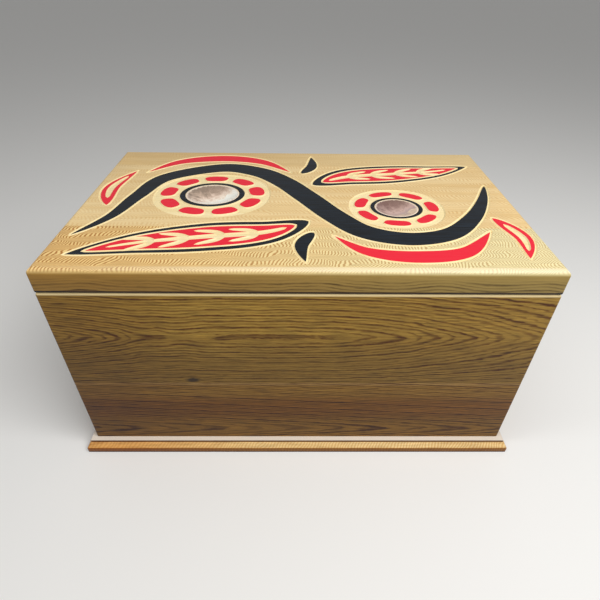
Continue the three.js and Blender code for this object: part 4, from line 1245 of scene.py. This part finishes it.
# Each dish: the colour of its painted shade, the side of its painted highlight, and the stops of its layers
shell_dish(LARGE_SHELL, nacre("silver_nacre", LARGE_SHELL, "#8E7868", (0.62, -0.78), (
    (0.10, "#8E7C6C"), (0.26, "#B8A08C"), (0.37, "#E2C8B4"), (0.47, "#FAEAD6"), (0.58, "#FFFFF4"))))
shell_dish(SMALL_SHELL, nacre("mauve_nacre", SMALL_SHELL, "#76594B", (0.45, -0.80), (
    (0.15, "#7E605A"), (0.33, "#A6887E"), (0.48, "#D0B0A4"), (0.60, "#BAA29E"), (0.78, "#EED4B4"))))

ZINC = zinc_plate()
SCREWS = screw_nodes()
screws(SCREWS, "base", "chest", BASE_SCREW, ZINC)
screws(SCREWS, "rim", "lid", RIM_SCREW, ZINC)

# Floor, light and camera

FLOOR_HALF = 30.0
floor_mesh = bpy.data.meshes.new("floor")
corners = [(x * FLOOR_HALF, y * FLOOR_HALF, 0.0) for x, y in ((-1, -1), (1, -1), (1, 1), (-1, 1))]
floor_mesh.from_pydata(corners, [], [(0, 1, 2, 3)])
floor_mesh.materials.append(plain_floor())
floor = bpy.data.objects.new("floor", floor_mesh)
bpy.context.scene.collection.objects.link(floor)


def lamp(name, energy, towards, place, length_x, length_y):
    """A rectangular lamp at a place, which shines along a direction."""
    light = bpy.data.lights.new(name, "AREA")
    light.shape = "RECTANGLE"
    light.energy = energy
    light.size = length_x
    light.size_y = length_y
    holder = bpy.data.objects.new(name, light)
    holder.matrix_world = (Matrix.Translation(place)
                           @ Vector(towards).to_track_quat("-Z", "Y").to_matrix().to_4x4())
    bpy.context.scene.collection.objects.link(holder)


SOFTBOX_PLACE = Vector((1.0, -1.10, 1.9))
lamp("softbox", 27.0, Vector((0.0, -0.10, 0.35)) - SOFTBOX_PLACE, SOFTBOX_PLACE, 1.4, 1.0)
lamp("ceiling_strip", 13.0, (0.0, 0.08, -1.0), (0.1, -0.45, 2.0), 2.6, 0.3)
world = bpy.data.worlds.new("soft_sky")
bpy.context.scene.world = world
world.use_nodes = True
world.node_tree.nodes["Background"].inputs["Color"].default_value = (1.0, 1.0, 1.0, 1.0)
world.node_tree.nodes["Background"].inputs["Strength"].default_value = 0.30

# Camera: solved from the outline of the chest in the photograph

FOCAL_PIXELS = 444.95
PHOTO_PIXELS = 600
CAMERA_PITCH = 0.65951
CAMERA_YAW = 0.01618
CAMERA_ROLL = 0.01404
CAMERA_PLACE = Vector((-0.01151, -0.97853, 0.98439)) * LID_LENGTH * MM

forward = Vector((
    math.sin(CAMERA_YAW) * math.cos(CAMERA_PITCH),
    math.cos(CAMERA_YAW) * math.cos(CAMERA_PITCH),
    -math.sin(CAMERA_PITCH),
))
level_right = Vector((math.cos(CAMERA_YAW), -math.sin(CAMERA_YAW), 0.0))
level_up = level_right.cross(forward)
right = math.cos(CAMERA_ROLL) * level_right + math.sin(CAMERA_ROLL) * level_up
up = -math.sin(CAMERA_ROLL) * level_right + math.cos(CAMERA_ROLL) * level_up
camera_data = bpy.data.cameras.new("camera")
camera_data.sensor_width = 36.0
camera_data.lens = FOCAL_PIXELS / PHOTO_PIXELS * camera_data.sensor_width
camera_data.clip_end = 200.0
camera = bpy.data.objects.new("camera", camera_data)
camera.matrix_world = Matrix.Translation(CAMERA_PLACE) @ Matrix((right, up, -forward)).transposed().to_4x4()
bpy.context.scene.collection.objects.link(camera)
bpy.context.scene.camera = camera
bpy.context.scene.view_settings.view_transform = "Standard"
